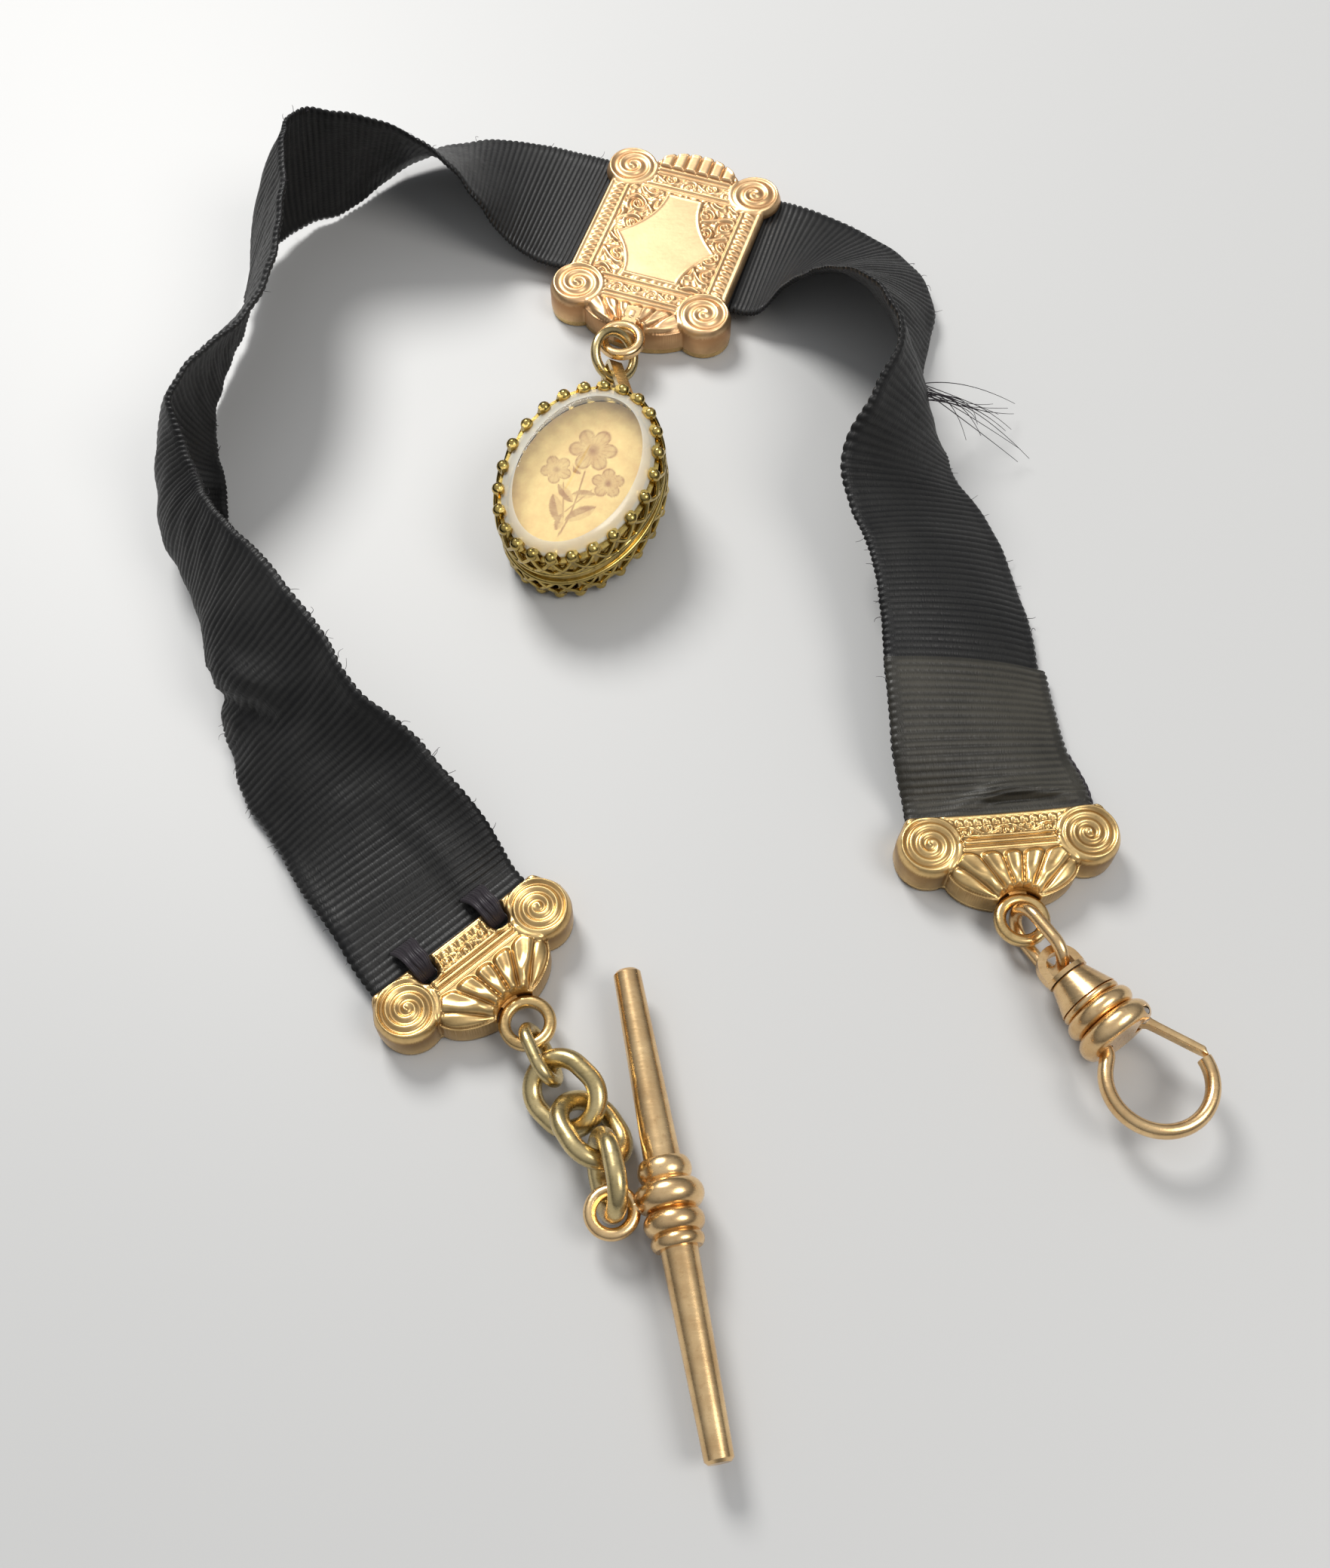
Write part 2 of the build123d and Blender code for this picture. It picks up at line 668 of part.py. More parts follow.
# The ring in the slide's eye, and the bail from the ring to the pendant's top end
slide_eye_centre = beside(slide_place, 0, -slide_eye_drop, slide_eye_level)
ring_offset_shares = (-0.281, -0.703, -0.137)
ring_centre = slide_eye_centre + Vector(*ring_offset_shares) * pendant_ring_radius
ring_turns = (31.3, -24.7, 39.0)
ring_place = turned_plane(ring_centre, *ring_turns)
with BuildPart() as pendant_ring:
    wire_ring(ring_place, pendant_ring_radius, pendant_ring_wire)
finish(pendant_ring, "pendant_ring")

bail_root = beside(pendant_place, pendant_length * half_share)
bail_end_shares = (-0.49, -0.74, -1.045)
bail_end = slide_eye_centre + Vector(*bail_end_shares) * pendant_ring_radius
bail_along = (bail_end - bail_root).normalized()
bail_level = bail_along.cross(Vector(0, 0, 1)).normalized()
bail_roll = radians(-25.6)
bail_across = bail_level * cos(bail_roll) + bail_level.cross(bail_along) * sin(bail_roll)
bail_place = Plane(origin=bail_root, x_dir=bail_along, z_dir=bail_across)
bail_half = (bail_inside + bail_thickness) * half_share
bail_reach = (bail_end - bail_root).length - bail_half
with BuildPart() as bail:
    with BuildSketch(bail_place.offset(-bail_width * half_share)):
        with Locations((bail_reach * half_share, 0)):
            SlotCenterToCenter(bail_reach, bail_inside + 2 * bail_thickness)
            SlotCenterToCenter(bail_reach, bail_inside, mode=Mode.SUBTRACT)
    extrude(amount=bail_width)
    with BuildSketch(pendant_place.offset(-half_band - gallery_height)):
        oval(pendant_length + 2 * seat_gap, pendant_width + 2 * seat_gap)
    extrude(amount=band_height + 2 * gallery_height, mode=Mode.SUBTRACT)
finish(bail, "bail")

# The chain, from the left plate's eye to the eye of the T-bar
left_eye_centre = beside(left_plate, 0, -eye_drop, eye_level)
chain_course_shares = [
    ((0.158, -0.353, 0.017), (-65, 5, 113)),
    ((0.420, -0.771, 0.006), (-45, 3, 27)),
    ((0.709, -1.175, 0.054), (-58, 9, -36)),
    ((0.883, -1.675, 0.188), (-77, 6, 75)),
]
for number, (place_shares, turns) in enumerate(chain_course_shares, 1):
    link_place = turned_plane(left_eye_centre + Vector(*place_shares) * link_length, *turns)
    if number == 1:
        link_sizes = small_link_length, small_link_width, small_link_wire
    else:
        link_sizes = link_length, link_width, link_wire
    oval_link(link_place, *link_sizes, f"chain_link_{number}")

# The T-bar: a collar with three beads, two tapering arms and an eye on its side
bar_turn = 100.7
bar_eye_shares = (0.936, -2.032, 0.105)
bar_eye_centre = left_eye_centre + Vector(*bar_eye_shares) * link_length
bar_side = heading_vector(bar_turn + quarter_turn)
bar_middle = bar_eye_centre - bar_side * bar_eye_reach - heading_vector(bar_turn) * (arm_edge)
bar_place = turned_plane(bar_middle, bar_turn)
bar_axis = Axis(bar_place.origin, bar_place.x_dir)
bar_eye_plane = Plane(origin=bar_eye_centre, x_dir=bar_side)


def arm(place, length, name):
    """One arm: a spigot in the collar, then a slow taper to an eased end."""
    with BuildPart() as piece:
        with BuildSketch(place):
            with BuildLine():
                Polyline(
                    (collar_half - spigot_length, 0),
                    (collar_half - spigot_length, spigot_radius),
                    (collar_half, spigot_radius),
                    (collar_half, arm_root_radius),
                    (length - arm_edge, arm_end_radius),
                    (length, arm_end_radius - arm_edge),
                    (length, 0),
                    close=True,
                )
            make_face()
        revolve(axis=Axis(place.origin, place.x_dir))
    finish(piece, name)


def beads(groove, rows):
    """The rounded profile of a row of turned beads: each swells out from the groove's radius."""
    for start, end, radius in rows:
        ThreePointArc((start, groove), ((start + end) * half_share, radius), (end, groove))


arm(bar_place, upper_arm_length, "bar_upper_arm")
arm(turned_plane(bar_middle, bar_turn - 2 * quarter_turn), lower_arm_length, "bar_lower_arm")

collar_bead_shares = [(1.0, 0.52, 0.78), (0.52, -0.16, 1.0), (-0.16, -0.68, 0.87), (-0.68, -1.0, 0.76)]
with BuildPart() as bar_collar:
    with BuildSketch(bar_place):
        with BuildLine():
            beads(collar_radius, [
                (start * collar_half, end * collar_half, bead * collar_bead_radius)
                for start, end, bead in collar_bead_shares])
            Polyline((collar_half, collar_radius), (collar_half, 0), (-collar_half, 0), (-collar_half, collar_radius))
        make_face()
    revolve(axis=bar_axis)
    with BuildSketch(Plane(origin=beside(bar_place, -collar_half), x_dir=bar_place.y_dir, z_dir=bar_place.x_dir)):
        Circle(spigot_radius + running_gap)
    extrude(amount=spigot_length + running_gap, mode=Mode.SUBTRACT)
    with BuildSketch(Plane(origin=beside(bar_place, collar_half), x_dir=bar_place.y_dir, z_dir=-bar_place.x_dir)):
        Circle(spigot_radius + running_gap)
    extrude(amount=spigot_length + running_gap, mode=Mode.SUBTRACT)
    shank_plane = Plane(origin=bar_eye_centre, x_dir=bar_place.x_dir, z_dir=-bar_side)
    shank_tip = bar_eye_reach - collar_radius + bar_shank_seat
    with BuildSketch(shank_plane.offset(bar_eye_radius)):
        Circle(bar_shank_radius + running_gap)
    extrude(amount=shank_tip - bar_eye_radius + running_gap, mode=Mode.SUBTRACT)
    # the eye's ring sits in a shallow seat across the middle bead
    with BuildSketch(bar_eye_plane.offset(-bar_eye_wire * half_share - seat_gap)):
        Circle(bar_eye_radius + bar_eye_wire * half_share + seat_gap)
    extrude(amount=bar_eye_wire + 2 * seat_gap, mode=Mode.SUBTRACT)
finish(bar_collar, "bar_collar")

with BuildPart() as bar_eye:
    wire_ring(bar_eye_plane, bar_eye_radius, bar_eye_wire)
    with BuildSketch(shank_plane.offset(bar_eye_radius)):
        Circle(bar_shank_radius)
    extrude(amount=shank_tip - bar_eye_radius)
finish(bar_eye, "bar_eye")

# The swivel's link, and the swivel's own axis from its cone to its hook
right_eye_centre = beside(right_plate, 0, -eye_drop, eye_level)
swivel_link_shares, swivel_link_turns = (0.155, -0.283, 0.078), (-59.3, 8.6, 77.3)
swivel_link_place = turned_plane(
    right_eye_centre + Vector(*swivel_link_shares) * swivel_link_length, *swivel_link_turns)
oval_link(swivel_link_place, swivel_link_length, swivel_link_width, swivel_link_wire, "swivel_link")

swivel_turn, swivel_rise = -55.6, 3.0
swivel_shares = (0.876, -1.422, 0.202)
swivel_middle = right_eye_centre + Vector(*swivel_shares) * swivel_link_length
swivel_place = turned_plane(swivel_middle, swivel_turn, swivel_rise)
swivel_axis = Axis(swivel_place.origin, swivel_place.x_dir)


def along_swivel(reach):
    """The plane square to the swivel's axis at a reach from the middle of its large bead."""
    return Plane(origin=beside(swivel_place, reach), x_dir=swivel_place.y_dir, z_dir=swivel_place.x_dir)


# The stirrup: a bow on a round base, riveted so that the cone turns under it
base_top = -cone_length - spin_gap - bow_base_thickness
bow_crown = -cone_length - bow_reach + bow_strap * half_share
bow_inside = bow_half_width - bow_strap * half_share
bow_outside = bow_half_width + bow_strap * half_share
bow_spring = bow_crown + bow_half_width
with BuildPart() as stirrup:
    with BuildSketch(swivel_place.offset(-bow_strap_depth * half_share)):
        with Locations((bow_spring, 0)):
            Circle(bow_outside)
        with Locations(((bow_spring + base_top) * half_share, 0)):
            Rectangle(base_top - bow_spring, 2 * bow_outside)
        with Locations((bow_spring, 0)):
            Circle(bow_inside, mode=Mode.SUBTRACT)
        with Locations(((bow_spring + base_top) * half_share, 0)):
            Rectangle(base_top - bow_spring, 2 * bow_inside, mode=Mode.SUBTRACT)
        with Locations((base_top + bow_outside, 0)):
            Rectangle(2 * bow_outside, 2 * bow_outside, mode=Mode.SUBTRACT)
    extrude(amount=bow_strap_depth)
    with BuildSketch(along_swivel(base_top)):
        Circle(bow_outside)
        Circle(rivet_radius + running_gap, mode=Mode.SUBTRACT)
    extrude(amount=bow_base_thickness)
    with BuildSketch(along_swivel(base_top)):
        Circle(rivet_head_radius + running_gap)
    extrude(amount=rivet_head + running_gap, mode=Mode.SUBTRACT)
finish(stirrup, "stirrup")

# The rivet: its head is sunk in the bow's base and its tail turns in a space in the cone
rivet_foot = -cone_length + rivet_neck + rivet_room * half_share
with BuildPart() as stirrup_rivet:
    with BuildSketch(along_swivel(base_top)):
        Circle(rivet_head_radius)
    extrude(amount=rivet_head)
    with BuildSketch(along_swivel(base_top)):
        Circle(rivet_radius)
    extrude(amount=rivet_foot - base_top)
    with BuildSketch(along_swivel(rivet_foot - rivet_tail * half_share)):
        Circle(rivet_head_radius)
    extrude(amount=rivet_tail)
finish(stirrup_rivet, "stirrup_rivet")

# The swivel's turned body: a cone, a thin bead, a middle bead and the large bead with its face
thin_bead_reach = -cone_length * 0.57
middle_bead_reach = -cone_length * 0.46
large_bead_reach = -swivel_face_reach
with BuildPart() as swivel_body:
    with BuildSketch(swivel_place):
        with BuildLine():
            Polyline(
                (-cone_length, 0), (-cone_length, cone_end_radius), (thin_bead_reach, cone_root_radius),
                (thin_bead_reach, swivel_groove_radius))
            beads(swivel_groove_radius, [
                (thin_bead_reach, middle_bead_reach, cone_root_radius * 1.01),
                (middle_bead_reach, large_bead_reach, swivel_bead_radius * 0.91)])
            ThreePointArc(
                (large_bead_reach, swivel_groove_radius), (0, swivel_bead_radius),
                (swivel_face_reach, swivel_face_radius))
            Polyline((swivel_face_reach, swivel_face_radius), (swivel_face_reach, 0), (-cone_length, 0))
        make_face()
    revolve(axis=swivel_axis)
    with BuildSketch(along_swivel(-cone_length)):
        Circle(rivet_radius + running_gap)
    extrude(amount=rivet_neck, mode=Mode.SUBTRACT)
    with BuildSketch(along_swivel(-cone_length + rivet_neck)):
        Circle(rivet_head_radius + running_gap)
    extrude(amount=rivet_room, mode=Mode.SUBTRACT)
    # the bore for the hook's root
    with BuildSketch(along_swivel(-hook_root_seat - seat_gap)):
        with Locations((-hook_root_offset, 0)):
            Ellipse(hook_wire * half_share + seat_gap, hook_height * half_share + seat_gap)
    extrude(amount=swivel_face_reach + hook_root_seat + seat_gap, mode=Mode.SUBTRACT)
    # the slot and the cross hole for the gate
    slot_start = gate_pin_reach - gate_knuckle_radius - gate_slot_gap
    slot_floor = gate_pin_offset - gate_knuckle_radius - gate_slot_gap
    with BuildSketch(swivel_place.offset(-gate_slot_half)):
        with Locations((slot_start + swivel_face_reach, slot_floor + swivel_bead_radius * half_share)):
            Rectangle(2 * swivel_face_reach, swivel_bead_radius)
    extrude(amount=2 * gate_slot_half, mode=Mode.SUBTRACT)
    with BuildSketch(swivel_place.offset(-swivel_bead_radius)):
        with Locations((gate_pin_reach, gate_pin_offset)):
            Circle(gate_pin_radius + seat_gap)
    extrude(amount=2 * swivel_bead_radius, mode=Mode.SUBTRACT)
finish(swivel_body, "swivel_body")


def round_point(centre_x, centre_y, radius, turn):
    """A point on a circle, its turn counted from the swivel's own axis in degrees."""
    return centre_x + radius * cos(radians(turn)), centre_y + radius * sin(radians(turn))


# The hook's wire: out of its bore, round a small bend, then along an open ring
leave_turn = 3 * quarter_turn - hook_flare
leave_x, leave_y = round_point(hook_ring_reach, 0, hook_ring_radius, leave_turn)
bend_y = -hook_root_offset - hook_root_bend
bend_end_x, bend_end_y = round_point(0, bend_y, hook_root_bend, quarter_turn - hook_flare)
bend_x = leave_x - (bend_end_y - leave_y) * cos(radians(hook_flare)) / sin(radians(hook_flare)) - bend_end_x
ring_end_turn = hook_tip_angle + 4 * quarter_turn
with BuildPart() as hook:
    with BuildLine(swivel_place) as hook_course:
        Line((-hook_root_seat, -hook_root_offset), (bend_x, -hook_root_offset))
        ThreePointArc(
            (bend_x, -hook_root_offset),
            round_point(bend_x, bend_y, hook_root_bend, quarter_turn - hook_flare * half_share),
            round_point(bend_x, bend_y, hook_root_bend, quarter_turn - hook_flare))
        Line(round_point(bend_x, bend_y, hook_root_bend, quarter_turn - hook_flare), (leave_x, leave_y))
        ThreePointArc(
            (leave_x, leave_y),
            round_point(hook_ring_reach, 0, hook_ring_radius, (leave_turn + ring_end_turn) * half_share),
            round_point(hook_ring_reach, 0, hook_ring_radius, ring_end_turn))
    with BuildSketch(along_swivel(-hook_root_seat)):
        with Locations((-hook_root_offset, 0)):
            Ellipse(hook_wire * half_share, hook_height * half_share)
    sweep(path=hook_course.line)
finish(hook, "hook")

# The gate, the pin it turns on and the coil beside it
with BuildPart() as gate:
    with BuildSketch(swivel_place.offset(-gate_width * half_share)):
        with Locations(Location((gate_pin_reach, gate_pin_offset, 0), gate_turn)):
            Circle(gate_knuckle_radius)
            with Locations((gate_length * half_share, 0)):
                Rectangle(gate_length, gate_thickness)
            Circle(gate_pin_radius + running_gap, mode=Mode.SUBTRACT)
    extrude(amount=gate_width)
finish(gate, "gate")

with BuildPart() as gate_pin:
    with BuildSketch(swivel_place.offset(-gate_pin_length * half_share)):
        with Locations((gate_pin_reach, gate_pin_offset)):
            Circle(gate_pin_radius)
    extrude(amount=gate_pin_length)
finish(gate_pin, "gate_pin")

with BuildPart() as gate_spring:
    with BuildSketch(swivel_place.offset(gate_width * half_share + seat_gap)):
        with Locations((gate_pin_reach, gate_pin_offset)):
            Circle(gate_spring_radius)
            Circle(gate_pin_radius + running_gap, mode=Mode.SUBTRACT)
    extrude(amount=gate_spring_thickness)
finish(gate_spring, "gate_spring")
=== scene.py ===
# %% [markdown]
# # A pocket watch fob, dressed for its portrait
#
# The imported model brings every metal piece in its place. This lesson makes what the solid
# model only stands in for: the woven ribbon, the sewing thread, the pressed relief on the two
# plates and the slide, and the pendant's openwork, glass and card. Then it gives every piece a
# procedural material and sets up the light and the camera.
#
# Lengths below are in millimetres and become metres when a mesh is made.

# %% Load the frame
from math import cos, pi, radians, sin

import bpy
import numpy as np
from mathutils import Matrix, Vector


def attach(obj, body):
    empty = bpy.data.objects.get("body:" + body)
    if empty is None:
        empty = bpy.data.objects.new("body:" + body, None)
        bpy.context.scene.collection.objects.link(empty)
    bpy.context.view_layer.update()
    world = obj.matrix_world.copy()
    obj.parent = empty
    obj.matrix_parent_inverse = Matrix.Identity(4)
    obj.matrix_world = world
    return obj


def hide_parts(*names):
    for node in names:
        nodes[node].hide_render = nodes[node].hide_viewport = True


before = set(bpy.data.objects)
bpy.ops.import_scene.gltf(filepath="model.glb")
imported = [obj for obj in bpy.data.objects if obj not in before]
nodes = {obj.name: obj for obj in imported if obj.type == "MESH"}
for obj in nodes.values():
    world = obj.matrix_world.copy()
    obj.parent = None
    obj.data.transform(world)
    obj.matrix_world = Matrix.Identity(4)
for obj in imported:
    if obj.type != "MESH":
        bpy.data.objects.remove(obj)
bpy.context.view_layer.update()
MM = 0.001
rng = np.random.default_rng(7)


# %% [markdown]
# ## Small tools
#
# A mesh is an array of points and an array of faces. Grids, tubes and height fields are enough
# for everything here.

# %% Mesh tools
def unit(vector):
    vector = np.asarray(vector, float)
    return vector / np.linalg.norm(vector)


def heading_vector(heading, rise=0.0):
    """A unit vector with this heading on the table and this rise above it, in degrees."""
    heading, rise = radians(heading), radians(rise)
    return np.array([cos(rise) * cos(heading), cos(rise) * sin(heading), sin(rise)])


def tall(*values):
    """Each value as an array with one more axis, to be multiplied with a direction."""
    return (np.asarray(value, float)[..., None] for value in values)


def ease(value, low, high):
    """A smooth step from 0 at the low value to 1 at the high one."""
    share = np.clip((value - low) / (high - low), 0, 1)
    return share * share * (3 - 2 * share)


def ridge(distance, half_width):
    """A rounded ridge: 1 on its own line and 0 beyond its half width."""
    return np.clip(1 - (distance / half_width) ** 2, 0, 1) ** 1.3


def grid_faces(rows, columns, close_rows=False, close_columns=False):
    """The quads of a grid of points that is stored row by row."""
    r = np.arange(rows if close_rows else rows - 1)
    c = np.arange(columns if close_columns else columns - 1)
    r, c = np.meshgrid(r, c, indexing="ij")
    here, below, beside = r * columns, (r + 1) % rows * columns, (c + 1) % columns
    return np.stack([here + c, here + beside, below + beside, below + c], -1).reshape(-1, 4)


def closed_strip(rows, columns):
    """The faces of a flattened tube of points, with quads across its two ends."""
    faces = [grid_faces(rows, columns, close_columns=True)]
    ring, half = np.arange(columns), columns // 2
    for end in (ring, ring[::-1] + (rows - 1) * columns):
        back = end[::-1]
        faces.append(np.stack([end[1:half], end[:half - 1], back[:half - 1], back[1:half]], -1))
    return np.concatenate(faces)


def linked(name, data):
    """An object for this data, in the scene."""
    thing = bpy.data.objects.new(name, data)
    bpy.context.scene.collection.objects.link(thing)
    return thing


def new_piece(name, points, faces, body, slot_name, materials, stands_for=(), values=None, uv=None):
    """Makes a smooth mesh from points in millimetres and lets it ride on its body."""
    mesh = bpy.data.meshes.new(name)
    mesh.from_pydata((np.asarray(points) * MM).tolist(), [], np.asarray(faces).tolist())
    mesh.polygons.foreach_set("use_smooth", np.ones(len(mesh.polygons), bool))
    for key, array in (values or {}).items():
        layer = mesh.attributes.new(key, "FLOAT", "POINT")
        layer.data.foreach_set("value", np.asarray(array, np.float32).ravel())
    if uv is not None:
        layer = mesh.uv_layers.new(name="UVMap")
        corner = np.zeros(len(mesh.loops), np.int32)
        mesh.loops.foreach_get("vertex_index", corner)
        layer.data.foreach_set("uv", np.asarray(uv, np.float32)[corner].ravel())
    mesh.update()
    piece = linked(name, mesh)
    for material in materials:
        mesh.materials.append(material)
    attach(piece, body)
    if stands_for:
        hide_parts(*stands_for)
    return piece


def tube(path, radius, sides=8, closed=False):
    """Points and faces of a round tube along a path; the radius may change along it."""
    path = np.asarray(path, float)
    travel = np.roll(path, -1, 0) - np.roll(path, 1, 0)
    if not closed:
        travel[0], travel[-1] = path[1] - path[0], path[-1] - path[-2]
    travel /= np.linalg.norm(travel, axis=1)[:, None]
    normal = np.cross(travel[0], unit([0.3, 0.5, 0.8]))
    normals = []
    for direction in travel:
        normal = unit(normal - direction * (normal @ direction))
        normals.append(normal)
    normals = np.array(normals)
    sideways = np.cross(travel, normals)
    turn = np.arange(sides) * 2 * pi / sides
    radius = np.broadcast_to(radius, len(path))[:, None, None]
    ring = normals[:, None] * np.cos(turn)[:, None] + sideways[:, None] * np.sin(turn)[:, None]
    points = path[:, None] + ring * radius
    faces = grid_faces(len(path), sides, close_rows=closed, close_columns=True)
    return points.reshape(-1, 3), faces


def joined(parts):
    """Several (points, faces) pairs as one."""
    starts = np.cumsum([0] + [len(points) for points, _ in parts[:-1]])
    faces = [part_faces + start for (_, part_faces), start in zip(parts, starts)]
    return np.concatenate([points for points, _ in parts]), np.concatenate(faces)


def ball(centre, radius):
    """Points and quads of a small round bead."""
    rows, columns = 8, 12
    lift = np.linspace(-pi / 2, pi / 2, rows + 1)[:, None]
    turn = (np.arange(columns) * 2 * pi / columns)[None]
    flat = np.cos(lift)
    shape = np.stack([flat * np.cos(turn), flat * np.sin(turn), np.sin(lift) + 0 * turn], -1)
    points = (shape * radius).reshape(-1, 3) + centre
    return points, grid_faces(rows + 1, columns, close_columns=True)


def own_axes(node):
    """Middle, long axis, cross axis and upward normal of a flat solid, in millimetres."""
    points = np.array([vertex.co[:] for vertex in nodes[node].data.vertices]) / MM
    middle = points.mean(0)
    long_axis, _, normal = np.linalg.svd(points - middle, full_matrices=False)[2]
    long_axis, normal = long_axis * np.sign(long_axis[1]), normal * np.sign(normal[2])
    axes = np.stack([long_axis, np.cross(normal, long_axis), normal])
    reach = (points - middle) @ axes.T
    return middle + (reach.max(0) + reach.min(0)) / 2 @ axes, *axes


# %% [markdown]
# ## Materials
#
# Two shared effects live in node groups. One is worn metal: broad patches of tone, fine
# scratches in the gloss, and specks of dirt. The other is woven cloth, whose rib crests get
# a painted highlight. Pieces with relief also get painted shade in their hollows.

# %% Node tools
def fill(tree, node, **values):
    """Fills a node's sockets, named or numbered, with values or with other sockets."""
    for key, value in values.items():
        socket = node.inputs[int(key[1:]) if key[1:].isdigit() else key.replace("_", " ")]
        if isinstance(value, bpy.types.NodeSocket):
            tree.links.new(value, socket)
        else:
            socket.default_value = value
    return node


def made(tree, kind, settings=(), output=0, **values):
    """One output of a new node, whose properties and sockets are set first."""
    node = tree.nodes.new("ShaderNode" + kind)
    for key, value in dict(settings).items():
        setattr(node, key, value)
    return fill(tree, node, **values).outputs[output]


def mixed(tree, factor, first, second):
    """A colour mix."""
    return made(tree, "Mix", {"data_type": "RGBA"}, 2, i0=factor, i6=first, i7=second)


def spread(tree, value, low, high, new_low=0.0, new_high=1.0):
    """A clamped map range."""
    return made(tree, "MapRange", i0=value, i1=low, i2=high, i3=new_low, i4=new_high)


def maths(tree, operation, first, second):
    return made(tree, "Math", {"operation": operation}, i0=first, i1=second)


def noise(tree, scale, detail, roughness=0.5, place=None):
    """Noise in the piece's own coordinates, or at another place."""
    if place is None:
        place = made(tree, "TexCoord", output="Object")
    return made(tree, "TexNoise", Vector=place, Scale=scale, Detail=detail, Roughness=roughness)


def attribute(tree, name):
    return made(tree, "Attribute", {"attribute_name": name}, "Fac")


def group_with(name, **inputs):
    """A new group that gives colour, roughness and normal, and its two end nodes."""
    group = bpy.data.node_groups.new(name, "ShaderNodeTree")
    for label, value in inputs.items():
        kind = "NodeSocketColor" if isinstance(value, tuple) else "NodeSocketFloat"
        group.interface.new_socket(label, in_out="INPUT", socket_type=kind).default_value = value
    for label, kind in (("Color", "Color"), ("Roughness", "Float"), ("Normal", "Vector")):
        group.interface.new_socket(label, in_out="OUTPUT", socket_type="NodeSocket" + kind)
    return group, group.nodes.new("NodeGroupInput").outputs, group.nodes.new("NodeGroupOutput")


# %% Worn metal
tree, given, result = group_with(
    "Worn metal", Bright=(0.8, 0.6, 0.3, 1), Deep=(0.3, 0.2, 0.1, 1), Smooth=0.25, Rough=0.45,
    Dirt=0.4)
worn_metal = tree
patches = noise(tree, scale=420.0, detail=5.0, roughness=0.6)
specks = noise(tree, scale=2600.0, detail=4.0, roughness=0.7)
stretched = made(
    tree, "Mapping", i0=made(tree, "TexCoord", output="Object"), Scale=(900.0, 6500.0, 2500.0))
scratches = noise(tree, scale=1.0, detail=3.0, place=stretched)
tone = maths(tree, "MULTIPLY", spread(tree, patches, 0.35, 0.68), 0.55)
dirt = maths(tree, "MULTIPLY", spread(tree, specks, 0.55, 0.75), given["Dirt"])
toned = mixed(tree, tone, given["Bright"], given["Deep"])
fill(
    tree, result, Color=mixed(tree, dirt, toned, given["Deep"]),
    Roughness=made(
        tree, "Mix", {"data_type": "FLOAT"}, i0=maths(tree, "ADD", scratches, -0.2),
        i2=given["Smooth"], i3=given["Rough"]),
    Normal=made(tree, "Bump", Strength=0.18, Distance=0.00003, Height=specks))

# %% Woven cloth
tree, given, result = group_with(
    "Woven cloth", Thread=(0.02, 0.02, 0.02, 1), Fade=(0.06, 0.055, 0.05, 1))
woven_cloth = tree
lint_tone = (0.07, 0.067, 0.062, 1)
flat_place = made(tree, "UVMap", {"uv_map": "UVMap"})
warp_place = made(tree, "Mapping", i0=flat_place, Scale=(62.0, 9.0, 1.0))
warp_threads = noise(tree, scale=0.16, detail=2.0, place=warp_place)
slow = noise(tree, scale=0.18, detail=4.0, roughness=0.65, place=flat_place)
lint = noise(tree, scale=4.5, detail=3.0, roughness=0.8, place=flat_place)
slow_share = spread(tree, slow, 0.35, 0.75, 0.0, 0.45)
# painted highlight: the rib crests are coloured up to half way towards the faded tone, as if lit
crest_highlight_share = spread(tree, attribute(tree, "crest"), 0.55, 1.0, 0.0, 0.5)
lint_share = spread(tree, lint, 0.68, 0.82, 0.0, 0.45)
faded = mixed(tree, slow_share, given["Thread"], given["Fade"])
ribbed = mixed(tree, crest_highlight_share, faded, given["Fade"])
fill(
    tree, result, Color=mixed(tree, lint_share, ribbed, lint_tone),
    Roughness=spread(tree, warp_threads, 0.3, 0.7, 0.36, 0.6),
    Normal=made(tree, "Bump", Strength=0.5, Distance=0.00006, Height=warp_threads))


# %% From a group to a material
def shader(name, **values):
    """A material's Principled shader, with values that are the same all over set on it directly."""
    material = bpy.data.materials.new(name)
    material.use_nodes = True
    tree = material.node_tree
    return material, tree, fill(tree, tree.nodes["Principled BSDF"], **values)


def grouped(tree, group, **values):
    """The outputs of a group in a material's tree."""
    node = tree.nodes.new("ShaderNodeGroup")
    node.node_tree = group
    return fill(tree, node, **values).outputs


def metal(name, bright, deep, smooth, rough, dirt, relief=False, rosy=None):
    """Worn metal; pieces with relief also get painted shade in their hollows and can turn rosy
    where worn.
    """
    material, tree, main = shader(name, Metallic=1.0)
    surface = grouped(
        tree, worn_metal, Bright=(*bright, 1), Deep=(*deep, 1), Smooth=smooth, Rough=rough,
        Dirt=dirt)
    color = surface["Color"]
    if rosy:
        color = mixed(tree, attribute(tree, "worn"), color, (*rosy, 1))
    if relief:
        # painted shade: the relief's hollows and walls are mixed towards the deep colour
        hollow_shade = spread(tree, attribute(tree, "hollow_shade"), 0.5, 0.95, 0.0, 0.8)
        color = mixed(tree, hollow_shade, color, (*deep, 1))
    fill(tree, main, Base_Color=color, Roughness=surface["Roughness"], Normal=surface["Normal"])
    return material


def cloth(name, thread, fade, sheen):
    material, tree, main = shader(
        name, Sheen_Weight=sheen, Sheen_Roughness=0.4, Specular_IOR_Level=0.32)
    surface = grouped(tree, woven_cloth, Thread=(*thread, 1), Fade=(*fade, 1))
    fill(
        tree, main, Base_Color=surface["Color"], Roughness=surface["Roughness"],
        Normal=surface["Normal"])
    return material


